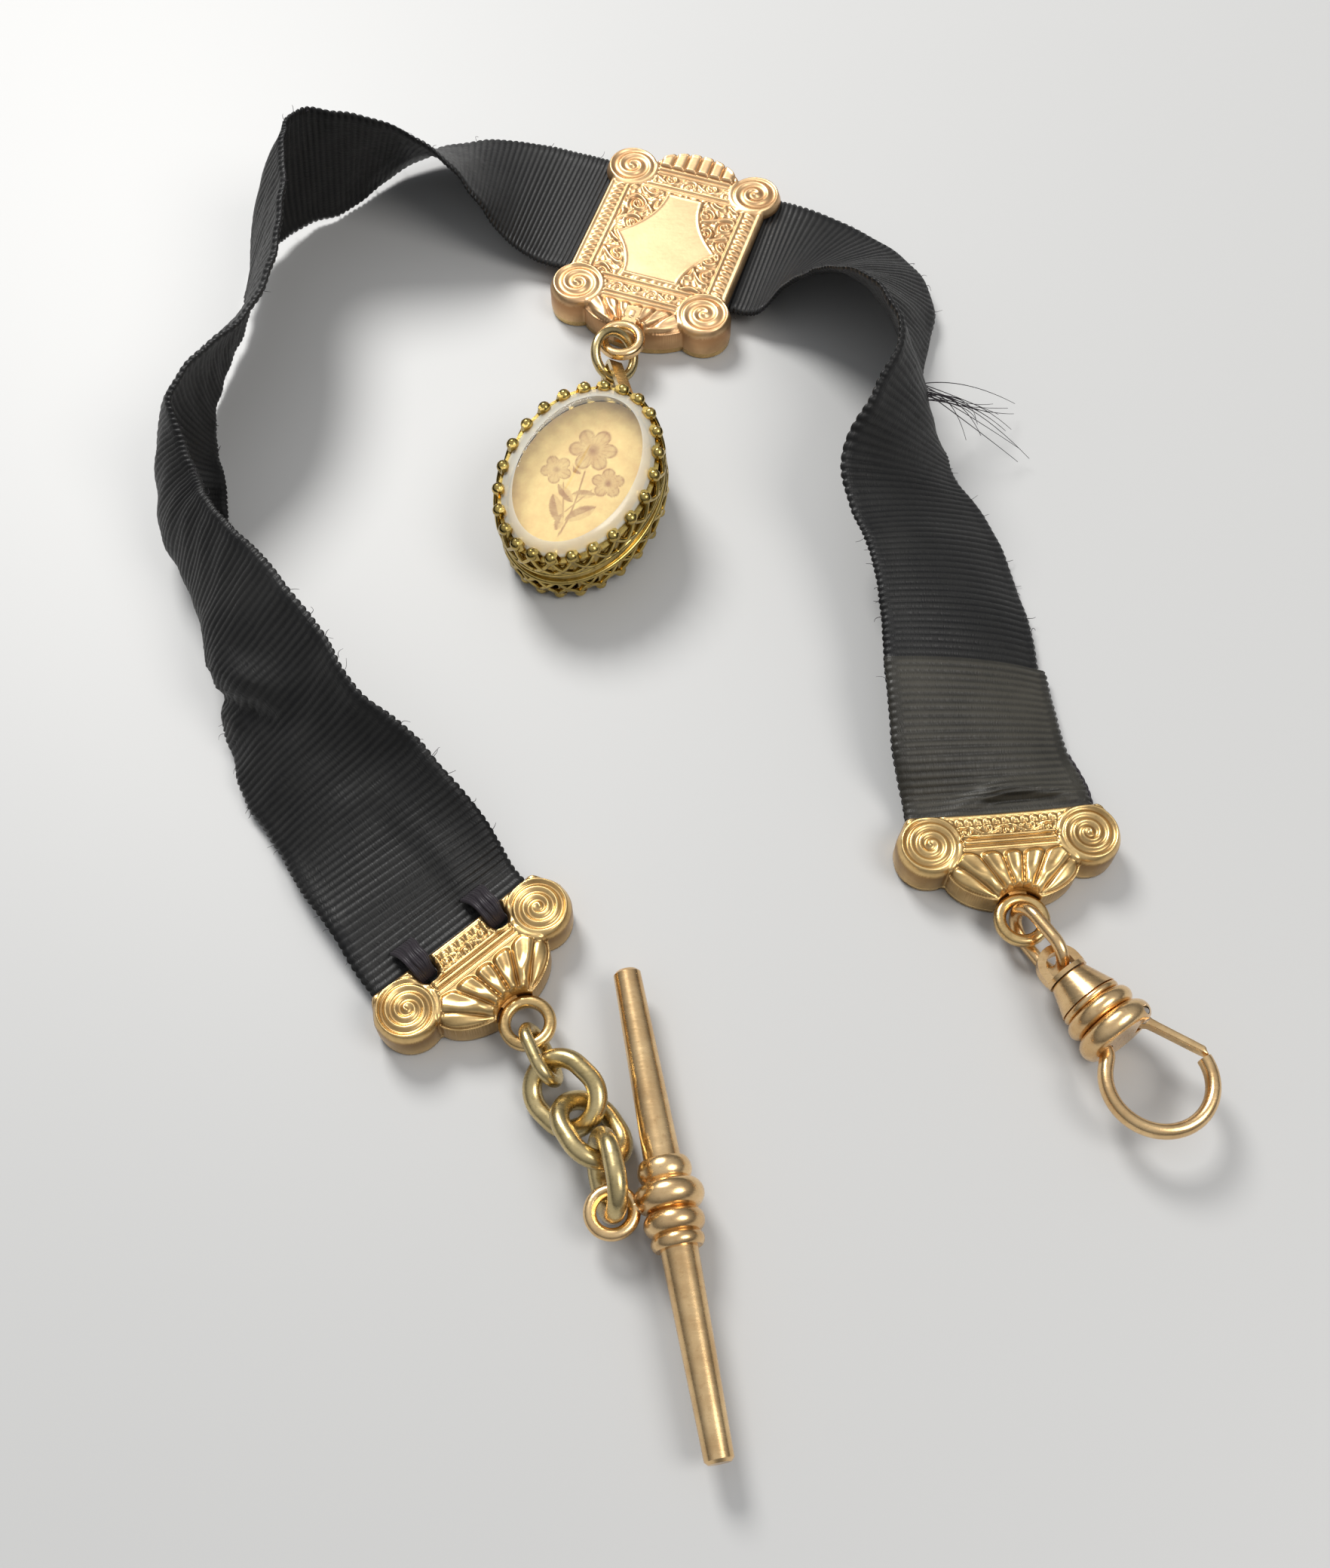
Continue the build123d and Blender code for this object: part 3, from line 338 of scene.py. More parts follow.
# %% The finishes
plate_gold = metal(
    "plate_gold", (0.90, 0.63, 0.28), (0.24, 0.125, 0.04), 0.28, 0.44, 0.25, relief=True)
slide_gold = metal(
    "slide_gold", (0.91, 0.63, 0.34), (0.38, 0.19, 0.08), 0.36, 0.52, 0.12, relief=True,
    rosy=(0.80, 0.49, 0.28))
side_gold = metal("side_gold", (0.80, 0.56, 0.25), (0.26, 0.14, 0.05), 0.20, 0.40, 0.5)
rose_gold = metal("rose_gold", (0.92, 0.65, 0.34), (0.50, 0.28, 0.11), 0.20, 0.38, 0.5)
link_brass = metal("link_brass", (0.72, 0.57, 0.29), (0.26, 0.19, 0.07), 0.22, 0.42, 0.6)
gallery_brass = metal("gallery_brass", (0.66, 0.48, 0.15), (0.11, 0.078, 0.02), 0.13, 0.30, 1.0)
steel = metal("spring_steel", (0.52, 0.50, 0.47), (0.2, 0.18, 0.16), 0.25, 0.45, 0.4)
black_cloth = cloth("black_grosgrain", (0.0025, 0.0025, 0.0028), (0.022, 0.0215, 0.020), 0.03)
faded_cloth = cloth("faded_grosgrain", (0.016, 0.015, 0.012), (0.070, 0.064, 0.050), 0.06)
thread_cloth = cloth("sewing_thread", (0.012, 0.009, 0.012), (0.066, 0.054, 0.066), 0.08)

# %% [markdown]
# ## The ribbon
#
# The ribbon follows the solid model's course: the middle of its width, the line across it and
# the curl of its two halves at each station. A smooth curve runs through the stations. The
# cloth is a grid on that course with real ribs, which lie closer together beside the slide.

# %% The course on the table
lay_reach = 50.0                    # places on the table are shares of this
middle_shares = np.array([-0.0318, 0.1767])
ribbon_width = 13.0
ribbon_tuck = 1.0                   # past the line of a plate's volutes
ribbon_rest_height, ribbon_slide_height = 1.0, 1.6
right_ribbon_shift = -0.15
plate_top, plate_top_sag = 2.45, 0.2
mouth_reach = plate_top + 1.5
slide_half_width = 6.95
slide_ribbon_offset = 1.6           # the ribbon's middle above the slide's middle
slide_run_shares = (-1.45, -0.75, 0.0, 0.7, 1.3)
UP = np.array([0, 0, 1.0])


class Place:
    """A flat place on the table with its own x and y directions, and the level of its mouth."""

    def __init__(self, shares, turn, mouth_level):
        self.turn, self.mouth_level = turn, mouth_level
        self.origin = np.array([*(np.array(shares) - middle_shares) * lay_reach, 0.0])
        self.x_dir, self.y_dir = heading_vector(turn), heading_vector(turn + 90)

    def point(self, x, y, z=0.0):
        x, y, z = tall(x, y, z)
        return self.origin + x * self.x_dir + y * self.y_dir + z * UP


left_plate = Place((-0.256, -0.289), 41.0, 2.3)
right_plate = Place((0.478, -0.114), 5.0, 2.3)
slide_place = Place((0.004, 1.010), -18.5, 2.05)

# Shares of the lay and of the width, heading and rise of the line across, curl of both halves
course_shares = [
    (-0.354, -0.162, 0.17, 36, 5, 0, 5),
    (-0.406, -0.100, 0.24, 35, 12, -8, 18),
    (-0.454, -0.040, 0.29, 35, 20, -15, 28),
    (-0.506, 0.010, 0.35, 33, 27, -22, 28),
    (-0.546, 0.070, 0.42, 33, 31, -35, 18),
    (-0.594, 0.122, 0.47, 35, 35, -60, 4),
    (-0.634, 0.180, 0.47, 41, 43, -90, -5),
    (-0.672, 0.238, 0.41, 46, 51, -118, -10),
    (-0.708, 0.298, 0.35, 46, 62, -136, -22),
    (-0.742, 0.360, 0.316, 30, 73, -138, -40),
    (-0.764, 0.426, 0.31, -20, 79, -126, -52),
    (-0.772, 0.494, 0.35, -66, 77, -98, -50),
    (-0.768, 0.558, 0.43, -78, 72, -62, -36),
    (-0.742, 0.626, 0.49, -60, 69, -38, -22),
    (-0.702, 0.696, 0.51, -36, 64, -20, -15),
    (-0.668, 0.772, 0.52, -22, 62, -12, -12),
    (-0.656, 0.854, 0.54, -14, 64, -10, -10),
    (-0.656, 0.930, 0.56, -4, 66, -10, -10),
    (-0.662, 0.998, 0.57, 0, 71, -15, -15),
    (-0.650, 1.056, 0.56, -6, 78, -22, -22),
    (-0.606, 1.090, 0.54, -26, 81, -14, -14),
    (-0.548, 1.102, 0.51, -46, 77, -5, -5),
    (-0.490, 1.118, 0.48, -56, 66, 0, 0),
    (-0.436, 1.140, 0.44, -64, 51, 0, 0),
    (-0.378, 1.152, 0.39, -75, 36, -4, -4),
    (-0.320, 1.148, 0.31, -88, 22, -4, -4),
    (-0.256, 1.134, 0.20, -100, 9, -3, -3),
]
descent_shares = [
    (0.270, 0.962, 0.21, -130, 17, -4, -4),
    (0.326, 0.912, 0.33, -149, 26, -8, -5),
    (0.358, 0.846, 0.42, -166, 39, -9, -5),
    (0.366, 0.774, 0.48, -174, 57, -10, -5),
    (0.380, 0.700, 0.51, -174, 70, -10, -5),
    (0.396, 0.628, 0.51, -163, 71, -10, -6),
    (0.386, 0.560, 0.45, -159, 56, -8, -10),
    (0.370, 0.498, 0.36, -161, 38, -6, -14),
    (0.390, 0.436, 0.31, -161, 29, -6, -15),
    (0.414, 0.372, 0.31, -164, 27, -10, -15),
    (0.430, 0.304, 0.30, -168, 25, -15, -16),
    (0.440, 0.234, 0.29, -172, 21, -18, -18),
    (0.443, 0.164, 0.26, -174, 19, -18, -18),
    (0.447, 0.094, 0.22, -173, 16, -14, -14),
    (0.452, 0.026, 0.16, -172, 11, -8, -8),
]


def course_station(row):
    x_share, y_share, z_share, heading, rise, *curls = row
    middle = (np.array([x_share, y_share]) - middle_shares) * lay_reach
    return np.array([*middle, z_share * ribbon_width, *heading_vector(heading, rise), *curls])


def flat_station(place, x, y, level, heading):
    return np.array([*place.point(x, y, level), *heading_vector(heading), 0, 0])


plate_run = (-ribbon_tuck, plate_top / 2, mouth_reach)
stations = [
    flat_station(left_plate, 0, y, ribbon_rest_height, left_plate.turn) for y in plate_run]
stations += [course_station(row) for row in course_shares]
slide_mark = len(stations) + len(slide_run_shares) // 2
stations += [
    flat_station(
        slide_place, share * slide_half_width, slide_ribbon_offset, ribbon_slide_height,
        slide_place.turn - 90)
    for share in slide_run_shares]
stations += [course_station(row) for row in descent_shares]
turned_mark = len(stations) - 3     # where the folded end starts
stations += [
    flat_station(right_plate, right_ribbon_shift, y, ribbon_rest_height, right_plate.turn - 180)
    for y in reversed(plate_run)]
stations = np.array(stations)


# %% A smooth run through the stations
per_span = 60


def through(rows):
    """A smooth curve through every row, its speed matched to the distances between places."""
    gaps = np.linalg.norm(np.diff(rows[:, :3], axis=0), axis=1)
    slopes = np.gradient(rows, np.concatenate([[0], np.cumsum(gaps)]), axis=0)
    t = np.linspace(0, 1, per_span, endpoint=False)[:, None]
    spans = [
        (2 * t**3 - 3 * t**2 + 1) * start + (t**3 - 2 * t**2 + t) * gap * slope
        + (3 * t**2 - 2 * t**3) * end + (t**3 - t**2) * gap * next_slope
        for start, end, gap, slope, next_slope in zip(rows, rows[1:], gaps, slopes, slopes[1:])]
    return np.concatenate([*spans, rows[-1:]])


fine_rows = through(stations)
run = np.concatenate([[0], np.cumsum(np.linalg.norm(np.diff(fine_rows[:, :3], axis=0), axis=1))])
ribbon_length, ribbon_half, from_plate = run[-1], ribbon_width / 2, ribbon_tuck + plate_top
slide_length, tuft_length, turned_length = (
    run[mark * per_span] for mark in (slide_mark, slide_mark + 8, turned_mark))
wide_rib, fine_rib, fine_reach = 0.54, 0.37, 26.0
rib_pitch = wide_rib - (wide_rib - fine_rib) * np.exp(-(((run - slide_length) / fine_reach) ** 2))
rib_run = np.concatenate([[0], np.cumsum(np.diff(run) / (rib_pitch[1:] + rib_pitch[:-1]) * 2)])
least_bend = 0.3                    # degrees, so that a flat half has a radius too


def course_at(lengths):
    """Middle, across, outward normal and curls at these lengths along the ribbon."""
    rows = np.stack([np.interp(lengths, run, column) for column in fine_rows.T], -1)
    middle, across = rows[:, :3], rows[:, 3:6]
    across = across / np.linalg.norm(across, axis=1)[:, None]
    travel = np.gradient(middle, axis=0)
    travel -= across * np.sum(travel * across, 1)[:, None]
    travel /= np.linalg.norm(travel, axis=1)[:, None]
    return middle, across, np.cross(across, travel), rows[:, 6:8]


def strip_points(lengths, shares, levels, half_width):
    """Points of a curled strip: shares across (-1 to 1) and levels above its middle surface."""
    middle, across, outward, curls = course_at(lengths)
    shares = np.broadcast_to(shares, (len(lengths), np.shape(shares)[-1]))
    bend = np.where(shares < 0, curls[:, :1] - least_bend, curls[:, 1:] + least_bend)
    bend = np.radians(np.where(np.abs(bend) < least_bend, least_bend, bend))
    turn = bend * np.abs(shares)
    reach = np.sign(shares) * (half_width * np.sin(turn) / bend - levels * np.sin(turn))
    lift = half_width * (1 - np.cos(turn)) / bend + levels * np.cos(turn)
    return middle[:, None] + across[:, None] * reach[..., None] + outward[:, None] * lift[..., None]


# %% The woven strip
cloth_columns, samples_per_rib = 23, 5
selvedge_share, highlight_edge_share = 0.955, 0.94


def woven_strip(name, start, half_width, level, half_thickness, wave, bulge, **piece):
    """A closed strip of ribbed cloth, from this length along the ribbon to its end."""
    rib_index = np.arange(*np.interp([start, ribbon_length], run, rib_run), 1 / samples_per_rib)
    lengths = np.interp(rib_index, rib_run, run)
    edge = 1 - np.cos(np.linspace(0, pi / 2, cloth_columns // 2 + 1))
    shares = np.concatenate([-edge[::-1], edge[1:]])
    shares = np.sign(shares) * (0.35 * np.abs(shares) + 0.65 * np.sin(np.abs(shares) * pi / 2))
    along, off_middle = lengths[:, None], np.abs(shares)
    rib = np.abs(np.sin(pi * rib_index[:, None])) ** 0.8
    strong_rib = rib * (1 + 0.25 * np.sin(along * 1.7) * np.sin(along * 0.53 + 1))
    wall = half_thickness * np.sqrt(np.clip(1 - off_middle**24, 0, 1))
    wall += 0.13 * ridge(off_middle - selvedge_share, 0.055)
    height = wall + wave * strong_rib * (1 - 0.3 * off_middle**12)
    # it lies loose between the plates, but not in the slide
    marks = np.interp(along, run, np.arange(len(run)) / per_span)
    free = ease(marks, 3, 5) * ease(len(stations) - 10 - marks, 0, 2)
    free = free * (1 - ease(-np.abs(marks - slide_mark), -4.5, -2.5))
    loose = 0.20 * np.sin(along * 0.42 + 1.1) * np.cos(shares * 2.2 + 0.5)
    loose += 0.10 * np.sin(along * 0.9 + shares * 3.0) * np.sin(along * 0.17)
    loose += 0.05 * np.sin(along * 2.1 - shares * 4.0 + np.sin(shares * 7))
    middle_level = level + free * loose + bulge(along, shares)
    spread_out = half_width * (0.995 + 0.018 * strong_rib)
    top = strip_points(lengths, shares, middle_level + height, spread_out)
    bottom = strip_points(lengths, shares, middle_level - height, spread_out)
    points = np.concatenate([top, bottom[:, ::-1]], 1)
    around = np.concatenate([shares, shares[::-1]])
    # painted highlight: the rib crests are marked for a lighter colour, which stops just short of
    # the edges
    crest = rib * ease(highlight_edge_share - np.abs(around), 0, 0.04)
    uv = np.stack(np.broadcast_arrays(around * half_width, along), -1).reshape(-1, 2)
    return new_piece(
        name, points.reshape(-1, 3), closed_strip(*points.shape[:2]), "ribbon",
        values={"crest": crest}, uv=uv, **piece)


def creased(lengths, shares):
    """A sharp fold that slants in from the edge, and a pucker that the stitches pull up."""
    ahead = lengths - from_plate
    fold_share = -0.22 - 0.78 * np.clip((ahead - 21) / 9, 0, 1.2)
    held = ease(ahead, 19.0, 23.0) * ease(-ahead, -31.5, -29.0)
    valley = np.clip(1 - np.abs(shares - fold_share) / 0.20, 0, 1)
    brow = np.clip(1 - np.abs(shares - fold_share - 0.42) / 0.34, 0, 1)
    pucker = np.clip(1 - np.abs(shares - 0.50 + 0.018 * ahead) / 0.17, 0, 1)
    pucker = pucker * ease(-ahead, -14, -3) * ease(ahead, 0.5, 3)
    return held * (0.45 * brow - 0.75 * valley) + 0.34 * pucker


def gathered(lengths, shares):
    """The loose gathers of the folded end in front of the plate's mouth."""
    ahead = ribbon_length - from_plate - lengths
    arch = ahead - 0.3 - 1.8 * np.clip(1 - ((shares + 0.25) / 0.75) ** 2, 0, 1)
    loops = ridge(arch + 0.45, 0.22) + ridge(arch, 0.20) + 0.7 * ridge(arch - 0.42, 0.20)
    return (0.55 * ridge(arch, 1.0) + 0.20 * loops) * ridge(shares + 0.25, 0.9)


ribbon_piece = woven_strip(
    "grosgrain_ribbon", 0.0, ribbon_half, level=0.0, half_thickness=0.12, wave=0.085,
    bulge=creased, slot_name="ribbon_cloth", materials=[black_cloth], stands_for=["ribbon"])
folded_end = woven_strip(
    "folded_end", turned_length, ribbon_half + 0.06, level=0.50, half_thickness=0.10, wave=0.07,
    bulge=gathered, slot_name="ribbon_faded", materials=[faded_cloth],
    stands_for=["ribbon_turned_end"])


# %% Threads: two stitch bundles, a frayed tuft, fuzz along the edges and a frayed selvedge
def arc_through(first, middle, last, count=24):
    """A smooth run of points from the first, by way of the middle one, to the last."""
    t = np.linspace(0, 1, count)[:, None]
    bend = 2 * np.asarray(middle) - (np.asarray(first) + np.asarray(last)) / 2
    return (1 - t) ** 2 * first + 2 * t * (1 - t) * bend + t**2 * last


notch_spread, stitch_radius, stitch_count = 3.0, 0.165, 9
bundle = []
for side in (-1, 1):
    for index in range(stitch_count):
        offset = (index - 4) * 0.165
        lift = 0.22 * cos(offset * 2.2) + 0.10 * cos(index * 1.9)
        ends = (
            (1.2, plate_top + 1.85, 1.45), (1.0, plate_top * 1.05, 2.85 + lift),
            (0.75, plate_top - 1.3, 2.0))
        path = arc_through(*(
            left_plate.point(side * notch_spread + offset * fan, y, z) for fan, y, z in ends))
        twist = 0.05 * np.sin(np.linspace(0, 5 + index, len(path)))[:, None]
        bundle.append(tube(path + left_plate.x_dir * twist, stitch_radius, 8))
stitches = new_piece(
    "stitch_threads", *joined(bundle), "ribbon", "thread", [thread_cloth], ["left_stitches"])


def spot(length, share):
    """A place on the cloth, and the directions across and out of it there."""
    window = length + np.array([-0.2, 0.0, 0.2])
    _, across, outward, _ = course_at(window)
    return strip_points(window, np.array([share]), 0.0, ribbon_half)[1, 0], across[1], outward[1]


def hair(root, knee, tip, count, thick, thin, sides, lowest):
    """A tapering thread that stays above the table."""
    path = arc_through(root, knee, tip, count)
    path[:, 2] = np.maximum(path[:, 2], lowest)
    return tube(path, np.linspace(thick, thin, count), sides)


tuft_count, fuzz_count, fray_count = 16, 150, 4
hairs = []
for _ in range(tuft_count):
    root = spot(tuft_length + rng.uniform(-0.9, 0.9), -0.2)[0]
    tip = root + heading_vector(rng.uniform(-22, 18)) * rng.uniform(4.0, 9.5)
    tip[2] = rng.uniform(0.3, 2.2)
    knee = (root + tip) / 2 + UP * rng.uniform(-0.4, 1.2)
    knee = knee + heading_vector(rng.uniform(0, 360)) * 0.8
    hairs.append(hair(root, knee, tip, count=14, thick=0.045, thin=0.02, sides=5, lowest=0.06))
for _ in range(fuzz_count):
    length, side = rng.uniform(6, ribbon_length - 12), rng.choice([-1.0, 1.0])
    root, across, outward = spot(length, side * 0.998)
    away = unit(across * side + outward * rng.uniform(-0.8, 0.8) + rng.normal(0, 0.5, 3))
    tip = root + away * rng.uniform(0.3, 0.9)
    knee = (root + tip) / 2 + rng.normal(0, 0.12, 3)
    hairs.append(hair(root, knee, tip, count=6, thick=0.028, thin=0.014, sides=4, lowest=0.03))
# the under edge's selvedge, frayed loose beside the folded end
fray_lengths = ribbon_length - from_plate - np.linspace(4.6, 0.1, 36)
fray_edge = strip_points(fray_lengths, np.array([-0.995]), 0.30, ribbon_half)[:, 0]
for strand in range(fray_count):
    wind = (strand * pi / 2 + np.linspace(0, 11, len(fray_edge)))[:, None]
    swing = (0.12 + 0.17 * np.cos(wind)) * right_plate.x_dir + 0.15 * np.sin(wind) * UP
    hairs.append(tube(fray_edge + swing, np.linspace(0.08, 0.15, len(fray_edge)), 6))
fuzz = new_piece("loose_threads", *joined(hairs), "ribbon", "thread", [thread_cloth])


# %% [markdown]
# ## Pressed metal
#
# Each pressed face is a height field: a fine grid cut to the outline, with scrolls, bars,
# foliage and gadroons raised on it, rounded shoulders, and walls down to the back plate.

# %% Ornament
def scrollwork(x, y, period, size):
    """A running scroll: small spirals that turn alternately up and down along a wavy stem."""
    cell = np.floor(x / period)
    flip = np.where(cell % 2 == 0, 1.0, -1.0)
    u = (x / period - cell - 0.5) * period
    v = y * flip + size * 0.12
    distance, angle = np.hypot(u, v), np.arctan2(v, u)
    coil = 0.5 + 0.5 * np.cos(2 * pi * (distance / (size * 0.38)) - angle)
    coil = coil**1.5 * ease(size * 0.62 - distance, 0, size * 0.15)
    stem = ridge(y - size * 0.34 * np.sin(pi * x / period), size * 0.13)
    leaves = 0.5 * ridge(np.sin(5 * angle + 9 * distance / size), 0.7)
    leaves = leaves * ease(distance - size * 0.5, 0, size * 0.2)
    return np.maximum(np.maximum(coil, stem), leaves)


def volute(x, y, radius, turns):
    """An Ionic scroll: a raised line that winds in to a round boss."""
    distance, angle = np.hypot(x, y), np.arctan2(y, x) / (2 * pi)
    pitch = radius * 0.80 / turns
    phase = (radius * 0.86 - distance) / pitch + angle
    line = (0.5 + 0.5 * np.cos(2 * pi * phase)) ** 1.6
    line = line * ease(radius * 0.95 - distance, 0, 0.12)
    dome = 0.10 * np.clip(1 - (distance / radius) ** 2, 0, 1)
    boss = 0.10 * ridge(distance, radius * 0.16)
    rim = 0.12 * ridge(distance - radius * 0.90, 0.26)
    return 0.17 * line + dome + boss + rim


def gadroons(x, y, foot_y, brim_y, count, spread_angle, inner):
    """Rounded lobes that fan out from a foot up to a level brim, each with a shallow dish."""
    distance = np.hypot(x, y - foot_y)
    angle = np.arctan2(x, y - foot_y)
    outer = (brim_y - foot_y) / np.maximum(np.cos(angle), 0.3)
    share = (angle / spread_angle + 1) / 2 * count
    across = (share - np.floor(share) - 0.5) * 2
    along = np.clip((distance - inner) / (outer - inner), 0, 1)
    body = np.clip(1 - across**2, 0, 1) ** 0.7 * ease(along, 0, 0.25)
    crown = np.clip((outer - distance) / 0.5 - 0.7 * across**2, 0, 1)
    dish = 0.42 * ridge(across, 0.55) * ease(along, 0.40, 0.7)
    within = (np.abs(angle) < spread_angle) * (distance > inner)
    return within * (body - dish) * ease(crown, 0, 1)


# %% Outlines as signed distances: negative inside
def disc(x, y, cx, cy, radius):
    return np.hypot(x - cx, y - cy) - radius


def rounded(beyond_x, beyond_y, corner):
    """A corner of this radius, from the distances beyond its two sides."""
    dx, dy = beyond_x + corner, beyond_y + corner
    inner = np.minimum(np.maximum(dx, dy), 0)
    return np.hypot(np.maximum(dx, 0), np.maximum(dy, 0)) + inner - corner


def slab(x, y, half_x, low_y, high_y, corner):
    beyond_y = np.abs(y - (low_y + high_y) / 2) - (high_y - low_y) / 2
    return rounded(np.abs(x) - half_x, beyond_y, corner)


def oval(x, y, cy, half_x, half_y):
    k = np.hypot(x / half_x, (y - cy) / half_y)
    g = np.hypot(x / half_x**2, (y - cy) / half_y**2)
    return k * (k - 1) / np.maximum(g, 1e-6)


plate_half_width, volute_x, volute_radius = 7.85, 5.55, 2.3
bowl_brim, bowl_half_width, bowl_drop = 1.61, 4.7, 4.45
plate_eye_drop, eye_seat = 5.6, 1.98
shoulder, back_thickness, notch_radius = 0.55, 0.5, 0.7


def plate_top_line(x):
    return plate_top - plate_top_sag * (1 - (x / plate_half_width) ** 2)


def plate_outline(x, y, notched):
    half = plate_half_width - 0.80 * ease(y, 0.4, 2.3)
    shape = np.minimum.reduce([
        np.maximum(rounded(np.abs(x) - half, y - plate_top_line(x), 0.55), -y),
        disc(np.abs(x), y, volute_x, 0, volute_radius),
        oval(x, y, -bowl_brim, bowl_half_width, bowl_drop - bowl_brim),
        slab(x, y, volute_x, -bowl_brim, 0.3, 0.05)])
    shape = np.maximum(shape, -disc(x, y, 0, -plate_eye_drop, eye_seat))
    if notched:
        from_y = y - np.clip(y, plate_top - 1.2, plate_top + 2)
        shape = np.maximum(shape, notch_radius - np.hypot(np.abs(x) - notch_spread, from_y))
    return shape


def volute_share(from_x, from_y):
    return ease(volute_radius * 1.02 - np.hypot(from_x, from_y), 0, 0.1)


def bars(y, rows):
    """Level mouldings; each row gives a line, a half width and a height."""
    return sum(height * ridge(y - line, half_width) for line, half_width, height in rows)


plate_bars = ((0.36, 0.17, 0.24), (-0.08, 0.20, 0.26), (-0.50, 0.12, 0.16))


def plate_relief(x, y, depth):
    """Height of an end plate's ornament above its ground."""
    on_volute = volute_share(np.abs(x) - volute_x, y)
    middle = ease(volute_x - np.abs(x), 0.2, 0.8)
    below_top = plate_top_line(x) - y
    height = 0.16 * ridge(depth - 0.30, 0.22) * ease(y, -0.6, -0.4)
    # a zigzag along the top, a line and a frieze below it, then the bars
    zigzag = np.abs((x / 0.66) % 1 - 0.5) * 2
    teeth = ridge(below_top - 0.82 + 0.10 * zigzag, 0.24) * ease(zigzag, 0.15, 0.6)
    height += 0.15 * teeth * (np.abs(x) < 7.1)
    height += 0.10 * ridge(below_top - 1.18, 0.09) * middle
    frieze = scrollwork(x + 0.75, (y - 0.86) * 1.1, 1.5, 1.0)
    height += 0.18 * frieze * ease(0.36 - np.abs(y - 0.88), 0, 0.08) * (1 - on_volute)
    height += bars(y, plate_bars) * middle
    # the bowl, which falls away towards its rim
    bowl = ease(-y, 0.62, 0.72) * ease(depth, 0.04, 0.26)
    height += 0.42 * gadroons(x, y, -5.5, -0.66, 7, radians(64), 1.05) * bowl
    fall = ease(-y, 1.4, 2.0) * (1 - ease(depth, 0, 1.5))
    height -= 0.60 * fall * ease(np.abs(x), 0.7, 2.0)
    scroll = volute(np.abs(x) - volute_x, y, volute_radius, 3.0)
    return height * (1 - on_volute) + on_volute * scroll


slide_volute_x, slide_volute_y = 5.5, 7.1
slide_eye_drop = 11.84


def slide_outline(x, y):
    shape = np.minimum.reduce([
        slab(x, y, slide_half_width, -slide_volute_y, slide_volute_y, 0.1),
        disc(np.abs(x), np.abs(y), slide_volute_x, slide_volute_y, volute_radius),
        oval(x, y, slide_volute_y, 4.3, 3.0), oval(x, y, -slide_volute_y, 5.3, 3.3)])
    return np.maximum(shape, -disc(x, y, 0, -slide_eye_drop, eye_seat))


def cartouche(x, y):
    """The plain field: narrow at its top and foot, wide at its pointed waist."""
    upper = 1.55 + 2.75 * np.clip((4.8 - y) / 5.4, 0, 1) ** 2.2
    lower = 2.35 + 1.95 * np.clip((y + 4.8) / 4.2, 0, 1) ** 2.0
    half = np.where(y > -0.6, upper, lower)
    return np.maximum(np.abs(x) - half, np.abs(y) - 4.8)


slide_bars = (
    (7.55, 0.18, 0.20), (7.12, 0.14, 0.16), (5.72, 0.13, 0.18), (5.35, 0.10, 0.12),
    (-5.35, 0.13, 0.18), (-5.72, 0.10, 0.12), (-7.0, 0.18, 0.20), (-7.4, 0.14, 0.16))


def slide_relief(x, y, depth):
    """Height of the slide's ornament above its ground."""
    from_x = np.abs(x) - slide_volute_x
    from_y = y - np.where(y < 0, -slide_volute_y, slide_volute_y)
    on_volute = volute_share(from_x, from_y)
    between = 1 - on_volute
    height = 0.14 * ridge(depth - 0.28, 0.22)
    # crest: a row of square-shouldered gadroons
    crest = ease(y, 7.80, 7.95) * ease(depth, 0.10, 0.34) * (np.abs(x) < 3.3)
    height += 0.34 * np.clip(1 - ((x / 1.1) % 1 * 2 - 1) ** 6, 0, 1) * crest
    # bars above and below the field, each pair with a frieze between
    height += bars(y, slide_bars) * ease(-from_x, 0.2, 0.8)
    frieze = scrollwork(x + 0.9, y - 6.4, 1.8, 1.25)
    height += 0.20 * frieze * ease(0.5 - np.abs(y - 6.42), 0, 0.1) * between
    frieze = scrollwork(x, y + 6.35, 1.5, 1.05)
    height += 0.18 * frieze * ease(0.42 - np.abs(y + 6.35), 0, 0.1) * between
    # the bowl, with a tongue in its middle
    bowl = ease(-y, 7.55, 7.75) * ease(depth, 0.04, 0.26)
    height += 0.42 * gadroons(x, y, -11.9, -7.6, 9, radians(68), 1.5) * bowl
    height = np.maximum(height, 0.42 * ridge(x, 0.9) * ease(-y, 8.2, 8.8))
    fall = ease(-y, 7.6, 8.6) * (1 - ease(depth, 0, 1.4))
    height -= 0.5 * fall * ease(np.abs(x), 0.9, 2.2)
    # side borders: slanting beads beside a line
    waist = ease(5.1 - np.abs(y), 0, 0.3)
    bead_run = np.abs(((y + 0.25 * (np.abs(x) - 5.75)) / 0.62) % 1 - 0.5) * 2
    height += 0.20 * ridge(np.abs(x) - 5.85, 0.48) * ridge(bead_run, 0.8) * waist
    height += 0.15 * ridge(np.abs(x) - 5.18, 0.12) * waist
    # the field: foliage round the plain cartouche
    plain = cartouche(x, y)
    bent_x, bent_y = x + 0.30 * np.sin(1.5 * y), y + 0.25 * np.sin(1.8 * x)
    row = np.floor(bent_y / 2.1)
    foliage = scrollwork(bent_x + 0.9 * row, (bent_y / 2.1 - row - 0.5) * 2.1, 2.0, 1.85)
    field = ease(4.95 - np.abs(x), 0, 0.2) * ease(5.15 - np.abs(y), 0, 0.15)
    height += 0.26 * foliage * field * ease(plain, 0.12, 0.3)
    height += 0.16 * ridge(plain, 0.16) + 0.12 * ease(-plain, 0.0, 0.15)
    return height * between + on_volute * volute(from_x, from_y, volute_radius, 2.2)


